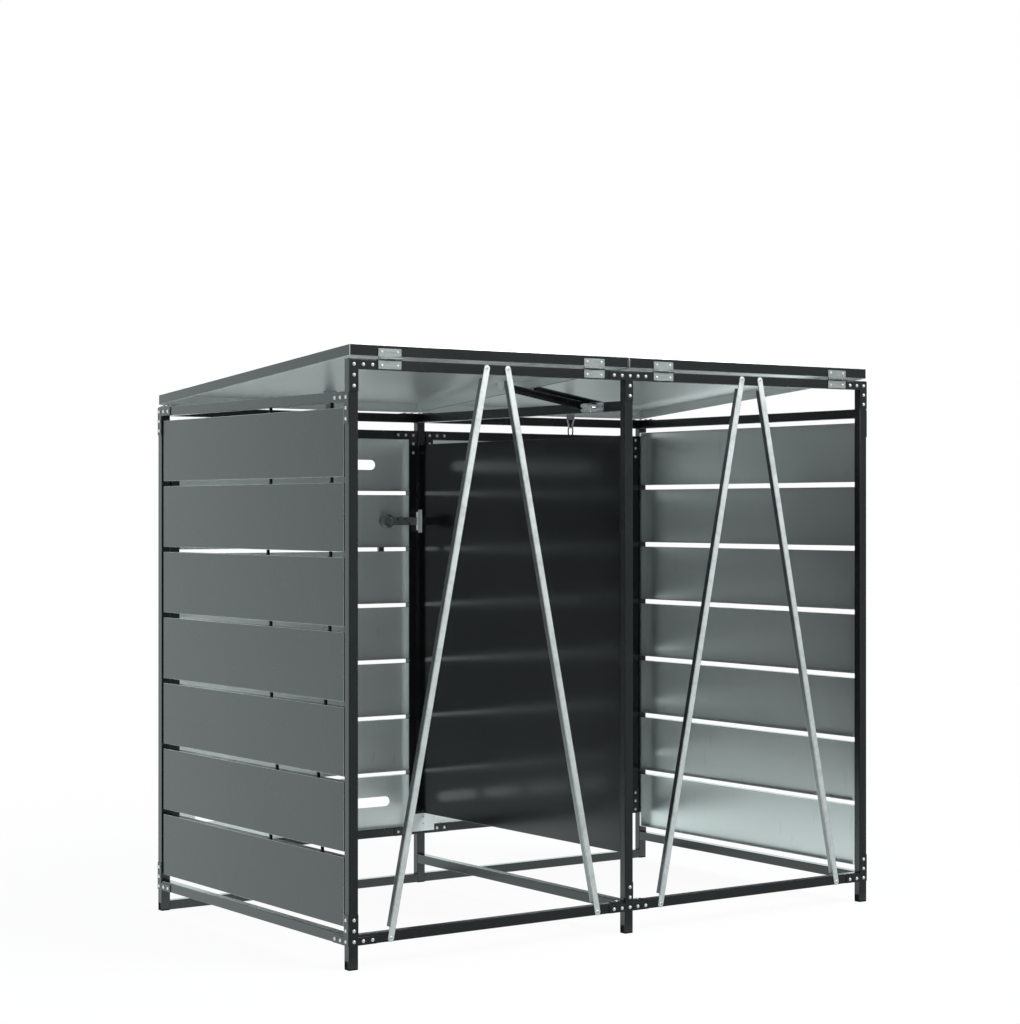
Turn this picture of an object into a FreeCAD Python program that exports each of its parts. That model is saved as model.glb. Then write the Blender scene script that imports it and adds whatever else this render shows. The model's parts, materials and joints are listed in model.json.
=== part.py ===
import FreeCAD, Part

# A store for two wheelie bins: a bolted frame of steel tube, two slatted sides, a divider, two sloped lids
# with gas struts, and two slatted doors with turning locks. The back is open, with two pairs of braces.
# Millimetres. +Z is up, the doors face -Y and the lids hinge at +Y. Left and right are as seen by someone
# who stands in front of the doors, so right is +X. The origin is the middle of the bottom.

import math
import os

V = FreeCAD.Vector
X_DIR = V(1, 0, 0)
Y_DIR = V(0, 1, 0)
Z_DIR = V(0, 0, 1)
ORIGIN = V(0, 0, 0)

# Small round things that nothing turns on are drawn with this many flat sides
SMALL_SIDES = 12
LARGE_SIDES = 16

# The frame: square-cut steel tube, posts and rails
WIDTH = 1330.0
DEPTH = 800.0
REAR_POST_TOP = 1149.5
POST_FALL = 62.0
POST_W = 20.0
POST_D = 17.0
TUBE_WALL = 1.5
RAIL_H = 20.0
BOTTOM_RAIL_Z = 45.7
SILL_LIFT = 1.0

# Feet: black plastic glides that show through a notch in the side walls of each post
FOOT_BASE_T = 3.0
FOOT_PLUG_H = 26.0
FOOT_SLACK = 0.3
NOTCH_TOP = 16.5

# Flat joining plates at the corners, and two small angles on the rear rails
PLATE_T = 1.5
PLATE_END = 10.0
BOLT_PITCH = 20.4
PLATE_DROP_LOW = 2.2
PLATE_DROP_HIGH = 1.0
TOP_PLATE_HALF = 6.5
ANGLE_L = 30.0
ANGLE_RISE = 7.0
ANGLE_W = 13.0

# Rear braces: light angle, cut back to flat rounded tabs at both ends
BRACE_W = 14.0
BRACE_LEG = 12.0
BRACE_T = 2.0
BRACE_TAB = 20.5
BRACE_TOP_SPREAD = 25.0
BRACE_LOW_INSET = 71.5
BRACE_TOP_RISE = 1.5
BRACE_LOW_DROP = 3.4

# Side slats: folded sheet trays, open towards the bins
SHEET_T = 1.0
SIDE_SLAT_COUNT = 7
SIDE_SLAT_GAP = 11.0
SIDE_SLAT_DEPTH = 18.0
SIDE_SLAT_INSET = 1.5
SIDE_SLAT_GROOVE = 5.5
SIDE_SLAT_CLEAR_LOW = 14.3
SIDE_SLAT_CLEAR_HIGH = 10.5

# Divider panel between the centre posts
DIVIDER_CLEAR_LOW = 98.8
DIVIDER_CLEAR_HIGH = 50.5
DIVIDER_DEPTH = 18.0

# Lids: sloped trays that turn about hinges on the rear rail
LID_FLANGE = 21.5
LID_REAR_LIFT = 5.5
LID_FRONT_LIFT = 4.5
LID_SIDE_GAP = 1.5
LID_SHEET = 1.2

# Butt hinges, the same on lids and doors
HINGE_L = 52.0
HINGE_LEAF = 19.6
HINGE_T = 1.5
KNUCKLE_R = 2.7
KNUCKLE_END = 13.0
KNUCKLE_GAP = 0.4
PIN_R = 1.5
PIN_SLACK = 0.1
LID_HINGE_LIFT = 1.2
LID_HINGE_INSET = 88.0
DOOR_HINGE_INSET = 130.0

# Doors
DOOR_HINGE_GAP = 3.0
DOOR_LOCK_GAP = 2.5
DOOR_LOW = 113.0
DOOR_TOP_GAP = 18.8
DOOR_DEPTH = 16.5
STILE_W = 20.0
DOOR_SLAT_COUNT = 7
DOOR_SLAT_GAP = 9.0
DOOR_SLAT_INSET = 1.0
DOOR_SLAT_DEPTH = 14.5
LONG_SLOT_L = 422.0
SHORT_SLOT_L = 110.0
SHORT_SLOT_COUNT = 4
SHORT_SLOT_PITCH = 130.0
SLOT_H = 23.0

# Turning lock on each door, in the second slat from the top
LOCK_FROM_STILE = 60.5
ROSE_R = 17.0
ROSE_T = 3.5
CASE_R = 13.0
CASE_SLACK = 0.2
CASE_REACH = 13.0
SPINDLE_R = 5.0
HUB_R = 8.5
HUB_GAP = 0.4
HUB_L = 5.0
LEVER_W = 15.0
LEVER_T = 8.0
LEVER_L = 95.0
CAM_T = 3.0
CAM_H = 18.0
CAM_ROOT_GAP = 0.5
CAM_CRANK_AT = 27.0
CAM_CRANK_RUN = 3.0
CAM_TIP_GAP = 1.0
KNOB_R = 16.0
KNOB_T = 8.0
KEEPER_T = 1.5
KEEPER_REACH = 19.0
KEEPER_H = 53.0
KEEPER_NECK_H = 42.0
KEEPER_NECK_L = 4.5
WING_W = 3.5
WING_CLEAR = 1.0

# Door stop on the front centre post
STOP_W = 62.0
STOP_H = 42.0
STOP_T = 2.0
STOP_GAP = 2.5
STOP_SPACER_T = 6.0

# Gas struts between the centre rail and the lids
STRUT_X = 30.0
STRUT_BACK = 85.3
STRUT_DROP = 2.5
STRUT_TUBE_R = 8.5
STRUT_ROD_R = 4.0
STRUT_EYE_R = 7.5
STRUT_EYE_T = 12.0
STRUT_NECK_R = 5.5
STRUT_TUBE_START = 36.0
STRUT_ROD_SHOWN = 22.0
STRUT_BORE_END = 10.0
STUD_R = 3.0
STRUT_PLATE_T = 2.5
STRUT_PLATE_TRIM = 0.5
STRUT_PLATE_L = 80.0
STRUT_PLATE_PAST = 15.3
LID_PIVOT_BACK = 397.0
LID_PIVOT_DROP = 12.0
LID_FOOT_T = 2.0
LID_FOOT_W = 26.0
LID_FOOT_L = 40.0
LID_EAR_T = 2.5
LID_EAR_R = 9.0
LID_EAR_SPACE = 5.0
OPEN_PIVOT_GAP = 0.4

# Lid catch: a hinged strap that ends in a V, and the small ring that hangs in it
CATCH_BACK = 643.0
CATCH_PIVOT_DROP = 6.0
CATCH_PIN_R = 1.5
CATCH_EYE_R = 3.0
CATCH_W = 22.0
CATCH_T = 1.5
CATCH_STRAP_L = 41.0
CATCH_V_L = 17.5
CATCH_LEG = 3.0
CATCH_BEND_R = 3.6
CATCH_EAR_T = 2.0
CATCH_BASE_L = 16.0
RING_HALF_W = 10.3
RING_STRAIGHT = 5.8
RING_T = 3.0
RING_SEAT_GAP = 0.9

# Places that follow from the sizes above
HALF_W = WIDTH / 2
POST_X = HALF_W - POST_W / 2
BAY_INNER = POST_W / 2
BAY_OUTER = HALF_W - POST_W
BAY_MID = (BAY_INNER + BAY_OUTER) / 2
REAR_REACH = max(2 * KNUCKLE_R, BRACE_T, PLATE_T)
HUB_START = DOOR_SLAT_INSET - ROSE_T - HUB_GAP
HUB_FRONT = HUB_START - HUB_L
LEVER_FRONT = HUB_FRONT - LEVER_T
REAR_Y = DEPTH / 2 - (LEVER_FRONT + REAR_REACH) / 2
FRONT_Y = REAR_Y - DEPTH
FRONT_POST_TOP = REAR_POST_TOP - POST_FALL
TOP_RAIL_Z = FRONT_POST_TOP - RAIL_H
REAR_RAIL_Z = REAR_POST_TOP - RAIL_H
DIVIDER_LOW = BOTTOM_RAIL_Z + RAIL_H + DIVIDER_CLEAR_LOW
STOP_HIGH = DIVIDER_LOW - STOP_GAP
LID_REAR_TOP = REAR_POST_TOP + LID_REAR_LIFT + LID_FLANGE
LID_FRONT_TOP = FRONT_POST_TOP + LID_FRONT_LIFT + LID_FLANGE
LID_SLOPE = (LID_REAR_TOP - LID_FRONT_TOP) / DEPTH
LID_ANGLE = math.degrees(math.atan(LID_SLOPE))
LID_OUTER = HALF_W - LID_SIDE_GAP
DOOR_INNER = BAY_INNER + DOOR_LOCK_GAP
DOOR_OUTER = BAY_OUTER - DOOR_HINGE_GAP
DOOR_HINGE_X = BAY_OUTER - DOOR_HINGE_GAP / 2
DOOR_HIGH = TOP_RAIL_Z - DOOR_TOP_GAP
DOOR_OPEN_LOW = DOOR_LOW + RAIL_H
DOOR_OPEN_HIGH = DOOR_HIGH - RAIL_H
LOCK_X = DOOR_INNER + STILE_W + LOCK_FROM_STILE
STRUT_Z = TOP_RAIL_Z + RAIL_H / 2 - STRUT_DROP


def box(x0, x1, y0, y1, z0, z1):
    """A block between two opposite corners, given in any order."""
    low = V(min(x0, x1), min(y0, y1), min(z0, z1))
    return Part.makeBox(abs(x1 - x0), abs(y1 - y0), abs(z1 - z0), low)


def prism(points, push):
    """A flat outline pushed straight out."""
    return Part.Face(Part.makePolygon(points + [points[0]])).extrude(push)


def bar(start, end, radius):
    """A round bar between two points."""
    return Part.makeCylinder(radius, (end - start).Length, start, end - start)


def round_points(centre, radius, start, end, first, second, sides):
    """Points along an arc between two angles in degrees, measured from first towards second."""
    steps = max(1, round(sides * abs(end - start) / 360))
    angles = [math.radians(start + (end - start) * i / steps) for i in range(steps + 1)]
    return [centre + first * (radius * math.cos(a)) + second * (radius * math.sin(a)) for a in angles]


def flat_bar(start, end, radius, sides=SMALL_SIDES):
    """A round thing that nothing turns on, between two points, drawn with flat sides."""
    run = (end - start).normalize()
    first = (Z_DIR if abs(run.z) < 0.9 else X_DIR).cross(run).normalize()
    points = round_points(start, radius, 0, 360, first, run.cross(first), sides)
    return prism(points[:-1], end - start)


def joined(first, *others):
    """Several touching shapes welded into one solid."""
    return first.fuse(list(others)).removeSplitter()


def mirrored(shape):
    """The same piece on the other side of the store."""
    return shape.mirror(ORIGIN, X_DIR)


def both_sides(shape):
    return [shape, mirrored(shape)]


def save(name, shapes):
    """One STEP file for one named piece, or for a group of like pieces."""
    solids = [solid for shape in shapes for solid in shape.Solids]
    Part.makeCompound(solids).exportStep("parts/" + name + ".step")


def save_pair(name, shapes):
    """The right-hand piece, and its mirror image on the left."""
    save(name + "_right", shapes)
    save(name + "_left", [mirrored(shape) for shape in shapes])


# Joining plates


def plate(kind, corner, along, up, normal, half_along, half_up):
    """A flat L or T plate on a face, with one arm along and one up from the corner; a T also has one back."""
    end = 2 * BOLT_PITCH + PLATE_END
    outline = [(end, -half_along), (end, half_along), (half_up, half_along), (half_up, end), (-half_up, end)]
    if kind == "T":
        outline += [(-half_up, half_along), (-end, half_along), (-end, -half_along)]
    else:
        outline += [(-half_up, -half_along)]
    return prism([corner + along * a + up * b for a, b in outline], normal * PLATE_T)


def frame_plates():
    """The joining plates of the fixed frame: on its back, its sides and the tops of its front corners."""
    low_half = RAIL_H / 2 - PLATE_DROP_LOW
    high_half = RAIL_H / 2 - PLATE_DROP_HIGH
    low = BOTTOM_RAIL_Z + low_half
    rear_high = REAR_RAIL_Z + high_half
    side_high = TOP_RAIL_Z + high_half
    top_y = FRONT_Y + POST_D / 2
    plates = []
    for z, up, half in ((low, Z_DIR, low_half), (rear_high, -Z_DIR, high_half)):
        plates.append(plate("T", V(0, REAR_Y, z), X_DIR, up, Y_DIR, half, POST_W / 2))
        corner = plate("L", V(POST_X, REAR_Y, z), -X_DIR, up, Y_DIR, half, POST_W / 2)
        plates.extend(both_sides(corner))
    for z, up, half in ((low, Z_DIR, low_half), (side_high, -Z_DIR, high_half)):
        rear = V(HALF_W, REAR_Y - POST_D / 2, z)
        front = V(HALF_W, FRONT_Y + POST_D / 2, z)
        plates.extend(both_sides(plate("L", rear, -Y_DIR, up, X_DIR, half, POST_D / 2)))
        plates.extend(both_sides(plate("L", front, Y_DIR, up, X_DIR, half, POST_D / 2)))
    arms = (TOP_PLATE_HALF, TOP_PLATE_HALF)
    plates.append(plate("T", V(0, top_y, FRONT_POST_TOP), X_DIR, Y_DIR, Z_DIR, *arms))
    corner = plate("L", V(POST_X, top_y, FRONT_POST_TOP), -X_DIR, Y_DIR, Z_DIR, *arms)
    plates.extend(both_sides(corner))
    plates.extend(both_sides(rail_angle()))
    return plates


def rail_angle():
    """A small angle in the corner between the rear centre post and the rear bottom rail."""
    x0 = POST_W / 2
    z0 = BOTTOM_RAIL_Z + RAIL_H
    y_mid = REAR_Y - POST_D / 2
    outline = [
        V(x0, y_mid, z0),
        V(x0 + ANGLE_L, y_mid, z0),
        V(x0 + ANGLE_L, y_mid, z0 + PLATE_T),
        V(x0 + PLATE_T, y_mid, z0 + PLATE_T),
        V(x0 + PLATE_T, y_mid, z0 + ANGLE_RISE),
        V(x0, y_mid, z0 + ANGLE_RISE),
    ]
    angle = prism(outline, Y_DIR * ANGLE_W)
    angle.translate(Y_DIR * (-ANGLE_W / 2))
    return angle


# The fixed frame


def tube(x0, x1, y0, y1, z0, z1, along):
    """A hollow tube between two corners, open at both ends along X or Y."""
    trim_x = 0 if along == "X" else TUBE_WALL
    trim_y = 0 if along == "Y" else TUBE_WALL
    hollow = box(x0 + trim_x, x1 - trim_x, y0 + trim_y, y1 - trim_y, z0 + TUBE_WALL, z1 - TUBE_WALL)
    return box(x0, x1, y0, y1, z0, z1).cut(hollow)


def post(x_mid, y0, top):
    """An upright with a closed top, and a notch through its side walls above the foot."""
    x0 = x_mid - POST_W / 2
    y1 = y0 + POST_D
    outside = box(x0, x0 + POST_W, y0, y1, FOOT_BASE_T, top)
    inside_x = (x0 + TUBE_WALL, x0 + POST_W - TUBE_WALL)
    inside_y = (y0 + TUBE_WALL, y1 - TUBE_WALL)
    hollow = box(*inside_x, *inside_y, FOOT_BASE_T, top - TUBE_WALL)
    notch = box(x0, x0 + POST_W, *inside_y, FOOT_BASE_T, NOTCH_TOP)
    return outside.cut(hollow).cut(notch)


def foot_glide(x_mid, y0):
    """A plastic foot: a base that the tube stands on, and a plug inside the tube."""
    x0 = x_mid - POST_W / 2
    base = box(x0, x0 + POST_W, y0, y0 + POST_D, 0, FOOT_BASE_T)
    trim = TUBE_WALL + FOOT_SLACK
    plug = box(x0 + trim, x0 + POST_W - trim, y0 + trim, y0 + POST_D - trim, FOOT_BASE_T, FOOT_PLUG_H)
    return joined(base, plug)


def cross_rail(y0, z0):
    """The right-hand rail of a pair that runs along X between the posts."""
    return tube(BAY_INNER, BAY_OUTER, y0, y0 + POST_D, z0, z0 + RAIL_H, "X")


def deep_rail(x_mid, z0):
    """A rail that runs from front to back between two posts."""
    x0 = x_mid - POST_W / 2
    return tube(x0, x0 + POST_W, FRONT_Y + POST_D, REAR_Y - POST_D, z0, z0 + RAIL_H, "Y")


def brace_ends(side, outward):
    """The lower and upper fixing points of one brace."""
    low_spread = (BAY_OUTER - BAY_INNER) / 2 - BRACE_LOW_INSET
    low_x = side * (BAY_MID + outward * low_spread)
    top_x = side * (BAY_MID + outward * BRACE_TOP_SPREAD)
    low_z = BOTTOM_RAIL_Z + RAIL_H / 2 - BRACE_LOW_DROP
    top_z = REAR_RAIL_Z + RAIL_H / 2 + BRACE_TOP_RISE
    return V(low_x, REAR_Y, low_z), V(top_x, REAR_Y, top_z)


def brace(side, outward):
    """One rear brace: a flat with rounded ends, and a leg along its +X edge that turns into the store."""
    low, top = brace_ends(side, outward)
    run = (top - low).normalize()
    across = V(run.z, 0, -run.x)
    half = BRACE_W / 2
    outline = round_points(top, half, 180, 0, across, run, SMALL_SIDES)
    outline += round_points(low, half, 0, -180, across, run, SMALL_SIDES)
    flat = prism(outline, Y_DIR * BRACE_T)
    leg_low = low + run * BRACE_TAB + Y_DIR * BRACE_T
    leg_top = top - run * BRACE_TAB + Y_DIR * BRACE_T
    corners = [
        leg_low + across * half,
        leg_top + across * half,
        leg_top + across * (half - BRACE_T),
        leg_low + across * (half - BRACE_T),
    ]
    return joined(flat, prism(corners, Y_DIR * -BRACE_LEG))


def side_slat(z0, z1):
    """A folded tray on the right side: face out, flanges in, and an end lip that meets each post."""
    face = HALF_W - SIDE_SLAT_INSET
    back = face - SIDE_SLAT_DEPTH
    y_post = (FRONT_Y + POST_D, REAR_Y - POST_D)
    y0 = y_post[0] + SIDE_SLAT_GROOVE
    y1 = y_post[1] - SIDE_SLAT_GROOVE
    inside = box(back, face - SHEET_T, y0 + SHEET_T, y1 - SHEET_T, z0 + SHEET_T, z1 - SHEET_T)
    tray = box(back, face, y0, y1, z0, z1).cut(inside)
    front_lip = box(back, back + SHEET_T, y_post[0], y0, z0, z1)
    rear_lip = box(back, back + SHEET_T, y1, y_post[1], z0, z1)
    return joined(tray, front_lip, rear_lip)


def side_slats():
    low = BOTTOM_RAIL_Z + RAIL_H + SIDE_SLAT_CLEAR_LOW
    high = TOP_RAIL_Z - SIDE_SLAT_CLEAR_HIGH
    pitch = (high - low + SIDE_SLAT_GAP) / SIDE_SLAT_COUNT
    return [side_slat(low + i * pitch, low + (i + 1) * pitch - SIDE_SLAT_GAP) for i in range(SIDE_SLAT_COUNT)]


def divider():
    """A tray whose plain face is flush with the right faces of the centre posts."""
    face = POST_W / 2
    back = face - DIVIDER_DEPTH
    y0 = FRONT_Y + POST_D
    y1 = REAR_Y - POST_D
    top = TOP_RAIL_Z - DIVIDER_CLEAR_HIGH
    inside = box(back, face - SHEET_T, y0 + SHEET_T, y1 - SHEET_T, DIVIDER_LOW + SHEET_T, top - SHEET_T)
    return box(back, face, y0, y1, DIVIDER_LOW, top).cut(inside)


def keeper():
    """The right lock keeper: a plate on the post's side, with a wing that stands behind the stile."""
    x0 = POST_W / 2
    x1 = x0 + KEEPER_T
    y0 = FRONT_Y + POST_D
    neck_y = y0 + KEEPER_NECK_L
    wing_y = y0 + WING_CLEAR
    z = lock_height()
    neck_z = (z - KEEPER_NECK_H / 2, z + KEEPER_NECK_H / 2)
    neck = box(x0, x1, FRONT_Y + DOOR_SLAT_INSET, neck_y, *neck_z)
    blade = box(x0, x1, neck_y, y0 + KEEPER_REACH, z - KEEPER_H / 2, z + KEEPER_H / 2)
    wing = box(x1, x1 + WING_W, wing_y, wing_y + KEEPER_T, *neck_z)
    return joined(neck, blade, wing)


def door_stop():
    """A plate on a spacer behind the front centre post, which both doors close against."""
    y0 = FRONT_Y + POST_D
    y1 = y0 + STOP_SPACER_T
    spacer = box(-POST_W / 2, POST_W / 2, y0, y1, STOP_HIGH - STOP_H, STOP_HIGH)
    stop = box(-STOP_W / 2, STOP_W / 2, y1, y1 + STOP_T, STOP_HIGH - STOP_H, STOP_HIGH)
    return [spacer, stop]


# Hinges


def hinge_leaf(turning):
    """One leaf of a hinge that lies along X on the plane y = 0, its pin at y = KNUCKLE_R, z = 0.

    The turning leaf stands up and carries the middle knuckle. The other hangs down, with both end knuckles
    and the pin.
    """
    half = HINGE_L / 2
    inner = half - KNUCKLE_END
    room = KNUCKLE_R + KNUCKLE_GAP
    up = 1 if turning else -1
    blank = box(-half, half, 0, HINGE_T, 0, up * HINGE_LEAF)
    pin_at = V(0, KNUCKLE_R, 0)
    if turning:
        middle = inner - KNUCKLE_GAP
        cuts = [box(s * middle, s * half, 0, HINGE_T, 0, room) for s in (-1, 1)]
        knuckle = flat_bar(pin_at - X_DIR * middle, pin_at + X_DIR * middle, KNUCKLE_R)
        bore = bar(pin_at - X_DIR * half, pin_at + X_DIR * half, PIN_R + PIN_SLACK)
        return joined(blank.cut(cuts), knuckle).cut(bore)
    blank = blank.cut(box(-inner, inner, 0, HINGE_T, 0, -room))
    ends = [(pin_at + X_DIR * (s * inner), pin_at + X_DIR * (s * half)) for s in (-1, 1)]
    knuckles = [flat_bar(start, end, KNUCKLE_R) for start, end in ends]
    pin = bar(pin_at - X_DIR * inner, pin_at + X_DIR * inner, PIN_R)
    return joined(blank, *knuckles, pin)


def placed(shape, base, turns):
    """A copy turned about X, Y or Z through the origin, in the order given, and then moved to base."""
    rotation = FreeCAD.Rotation()
    for axis, angle in turns:
        rotation = FreeCAD.Rotation(axis, angle).multiply(rotation)
    copy = shape.copy()
    copy.Placement = FreeCAD.Placement(base, rotation).multiply(copy.Placement)
    return copy


def lid_hinges(turning):
    """One leaf of each of the right lid's two hinges, on the back of the lid and of the rear rail."""
    z = REAR_POST_TOP + LID_HINGE_LIFT
    places = (LID_SIDE_GAP + LID_HINGE_INSET, LID_OUTER - LID_HINGE_INSET)
    return [placed(hinge_leaf(turning), V(x, REAR_Y, z), []) for x in places]


def door_hinges(turning):
    """One leaf of each of the right door's two hinges, on the front of the stile and of the post."""
    turns = [(Z_DIR, 180), (Y_DIR, -90)]
    heights = (DOOR_LOW + DOOR_HINGE_INSET, DOOR_HIGH - DOOR_HINGE_INSET)
    return [placed(hinge_leaf(turning), V(DOOR_HINGE_X, FRONT_Y, z), turns) for z in heights]


# Lids


def lid_top(y):
    """The height of a lid's top face at a depth."""
    return LID_FRONT_TOP + (y - FRONT_Y) * LID_SLOPE


def lid_panel():
    """The right lid: a sloped sheet with a flange down all four sides."""
    width = LID_OUTER - LID_SIDE_GAP
    ends = (REAR_Y, FRONT_Y)
    outer = [V(LID_SIDE_GAP, y, lid_top(y)) for y in ends]
    outer += [V(LID_SIDE_GAP, y, lid_top(y) - LID_FLANGE) for y in reversed(ends)]
    ends = (REAR_Y - LID_SHEET, FRONT_Y + LID_SHEET)
    x_in = LID_SIDE_GAP + LID_SHEET
    inner = [V(x_in, y, lid_top(y) - LID_SHEET) for y in ends]
    inner += [V(x_in, y, lid_top(y) - 2 * LID_FLANGE) for y in reversed(ends)]
    hollow = prism(inner, X_DIR * (width - 2 * LID_SHEET))
    return prism(outer, X_DIR * width).cut(hollow)


def under_lid(x, back, drop):
    """A point square below the lid's underside, at a distance back from the rear plane."""
    y = REAR_Y - back
    tilt = math.radians(LID_ANGLE)
    return V(x, y + drop * math.sin(tilt), lid_top(y) - LID_SHEET - drop * math.cos(tilt))


def lid_strut_bracket():
    """The strut's seat on the lid: a foot, an ear and a stud that ends just short of the rod's eye."""
    stud_x = STRUT_EYE_T / 2 + OPEN_PIVOT_GAP
    ear_x = stud_x + LID_EAR_SPACE
    far_x = ear_x + LID_EAR_T
    foot = box(far_x - LID_FOOT_W, far_x, -LID_FOOT_L / 2, LID_FOOT_L / 2, -LID_FOOT_T, 0)
    ear = box(ear_x, far_x, -LID_EAR_R, LID_EAR_R, -LID_PIVOT_DROP, -LID_FOOT_T)
    nose = flat_bar(V(ear_x, 0, -LID_PIVOT_DROP), V(far_x, 0, -LID_PIVOT_DROP), LID_EAR_R)
    stud = flat_bar(V(stud_x, 0, -LID_PIVOT_DROP), V(ear_x, 0, -LID_PIVOT_DROP), STUD_R)
    return placed(joined(foot, ear, nose, stud), under_lid(STRUT_X, LID_PIVOT_BACK, 0), [(X_DIR, LID_ANGLE)])


def catch_bracket():
    """The catch's seat on the lid: a foot with two ears, and the pin between them."""
    half = CATCH_W / 2 + PIN_SLACK
    outer = half + CATCH_EAR_T
    foot = box(-outer, outer, -CATCH_BASE_L / 2, CATCH_BASE_L / 2, -CATCH_EAR_T, 0)
    low = -CATCH_PIVOT_DROP - CATCH_EYE_R
    ears = [box(x, x + CATCH_EAR_T, -CATCH_EYE_R, CATCH_EYE_R, low, -CATCH_EAR_T) for x in (-outer, half)]
    pin = bar(V(-half, 0, -CATCH_PIVOT_DROP), V(half, 0, -CATCH_PIVOT_DROP), CATCH_PIN_R)
    return placed(joined(foot, *ears, pin), under_lid(BAY_MID, CATCH_BACK, 0), [(X_DIR, LID_ANGLE)])


# Gas struts


def strut_low():
    """Where the strut turns on the frame."""
    return V(STRUT_X, REAR_Y - STRUT_BACK, STRUT_Z)


def strut_high():
    """Where the strut meets the lid."""
    return under_lid(STRUT_X, LID_PIVOT_BACK, LID_PIVOT_DROP)


def strut_length():
    return (strut_high() - strut_low()).Length


def along_strut(shape):
    """A piece built along Z, laid from the frame end towards the lid end."""
    shape.Placement = FreeCAD.Placement(strut_low(), FreeCAD.Rotation(Z_DIR, strut_high() - strut_low()))
    return shape


def strut_eye(height):
    return flat_bar(V(-STRUT_EYE_T / 2, 0, height), V(STRUT_EYE_T / 2, 0, height), STRUT_EYE_R)


def strut_cylinder():
    """The strut's tube, bored for the rod, with an eye that turns on the frame's stud."""
    mouth = strut_length() - STRUT_ROD_SHOWN - STRUT_EYE_R
    tube_part = flat_bar(V(0, 0, STRUT_TUBE_START), V(0, 0, mouth), STRUT_TUBE_R, LARGE_SIDES)
    bore = bar(V(0, 0, STRUT_TUBE_START + STRUT_BORE_END), V(0, 0, mouth + 1), STRUT_ROD_R + PIN_SLACK)
    neck = flat_bar(ORIGIN, V(0, 0, STRUT_TUBE_START), STRUT_NECK_R)
    eye_bore = bar(V(-STRUT_EYE_T, 0, 0), V(STRUT_EYE_T, 0, 0), STUD_R + PIN_SLACK)
    return along_strut(joined(tube_part.cut(bore), neck, strut_eye(0)).cut(eye_bore))


def strut_rod():
    """The strut's rod, down to the bottom of its bore, and the eye at the lid."""
    start = STRUT_TUBE_START + STRUT_BORE_END + STRUT_ROD_R
    length = strut_length()
    return along_strut(joined(bar(V(0, 0, start), V(0, 0, length), STRUT_ROD_R), strut_eye(length)))


def strut_bracket():
    """The strut's seat on the centre rail: a plate with one round end, and a stud."""
    x0 = POST_W / 2
    x1 = x0 + STRUT_PLATE_T
    low = strut_low()
    half = RAIL_H / 2 - STRUT_PLATE_TRIM
    z_mid = TOP_RAIL_Z + RAIL_H / 2
    y_rear = low.y + STRUT_PLATE_PAST
    y_front = y_rear - STRUT_PLATE_L + half
    blade = box(x0, x1, y_front, y_rear, z_mid - half, z_mid + half)
    nose = flat_bar(V(x0, y_front, z_mid), V(x1, y_front, z_mid), half, LARGE_SIDES)
    stud = bar(V(x0, low.y, low.z), V(STRUT_X + STRUT_EYE_T / 2, low.y, low.z), STUD_R)
    return joined(blade, nose, stud)


# Lid catches


def catch_pivot():
    return under_lid(BAY_MID, CATCH_BACK, CATCH_PIVOT_DROP)


def catch_bend_z():
    """The height of the middle of the metal at the foot of the V."""
    return catch_pivot().z - CATCH_STRAP_L - CATCH_V_L - CATCH_LEG / 2


def v_outline(base, half_top, radius):
    """An outline that narrows from half_top down to a round foot whose centre is at base."""
    rise = catch_pivot().z - CATCH_STRAP_L - base.z
    turn = math.degrees(math.atan2(rise, half_top) - math.acos(radius / math.hypot(half_top, rise)))
    tops = [V(base.x + s * half_top, base.y, base.z + rise) for s in (-1, 1)]
    return tops + round_points(base, radius, turn, -180 - turn, X_DIR, Z_DIR, SMALL_SIDES)


def catch_link():
    """A strap that turns on the bracket's pin and ends in a V."""
    pivot = catch_pivot()
    half = CATCH_W / 2
    eye = flat_bar(pivot - X_DIR * half, pivot + X_DIR * half, CATCH_EYE_R)
    bore = bar(pivot - X_DIR * CATCH_W, pivot + X_DIR * CATCH_W, CATCH_PIN_R + PIN_SLACK)
    y0 = pivot.y - CATCH_T / 2
    strap = box(pivot.x - half, pivot.x + half, y0, y0 + CATCH_T, pivot.z - CATCH_STRAP_L, pivot.z)
    base = V(pivot.x, y0, catch_bend_z() + CATCH_LEG / 2 + CATCH_BEND_R)
    outer = prism(v_outline(base, half, CATCH_BEND_R + CATCH_LEG), Y_DIR * CATCH_T)
    inner = prism(v_outline(base, half - CATCH_LEG, CATCH_BEND_R), Y_DIR * CATCH_T)
    return joined(strap, eye, outer.cut(inner)).cut(bore)


def long_round(centre, radius, straight, first, second, push):
    """A slab whose outline is a straight run along first, with round ends."""
    ends = [centre + first * (s * straight / 2) for s in (1, -1)]
    outline = round_points(ends[0], radius, -90, 90, first, second, LARGE_SIDES)
    outline += round_points(ends[1], radius, 90, 270, first, second, LARGE_SIDES)
    return prism(outline, push)


def catch_ring():
    """The oval ring that hangs in the foot of the V."""
    seat = catch_bend_z() + CATCH_LEG / 2 + RING_SEAT_GAP
    inner = RING_HALF_W - RING_T
    centre = V(BAY_MID - RING_T / 2, catch_pivot().y, seat - inner - RING_STRAIGHT / 2)
    push = X_DIR * RING_T
    hole = long_round(centre, inner, RING_STRAIGHT, Z_DIR, Y_DIR, push)
    return long_round(centre, RING_HALF_W, RING_STRAIGHT, Z_DIR, Y_DIR, push).cut(hole)


# Doors


def door_slat_bands():
    """The low and high edge of each door slat, from the bottom up."""
    pitch = (DOOR_OPEN_HIGH - DOOR_OPEN_LOW + DOOR_SLAT_GAP) / DOOR_SLAT_COUNT
    lows = [DOOR_OPEN_LOW + i * pitch for i in range(DOOR_SLAT_COUNT)]
    return [(low, low + pitch - DOOR_SLAT_GAP) for low in lows]


def lock_height():
    return sum(door_slat_bands()[-2]) / 2


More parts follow.
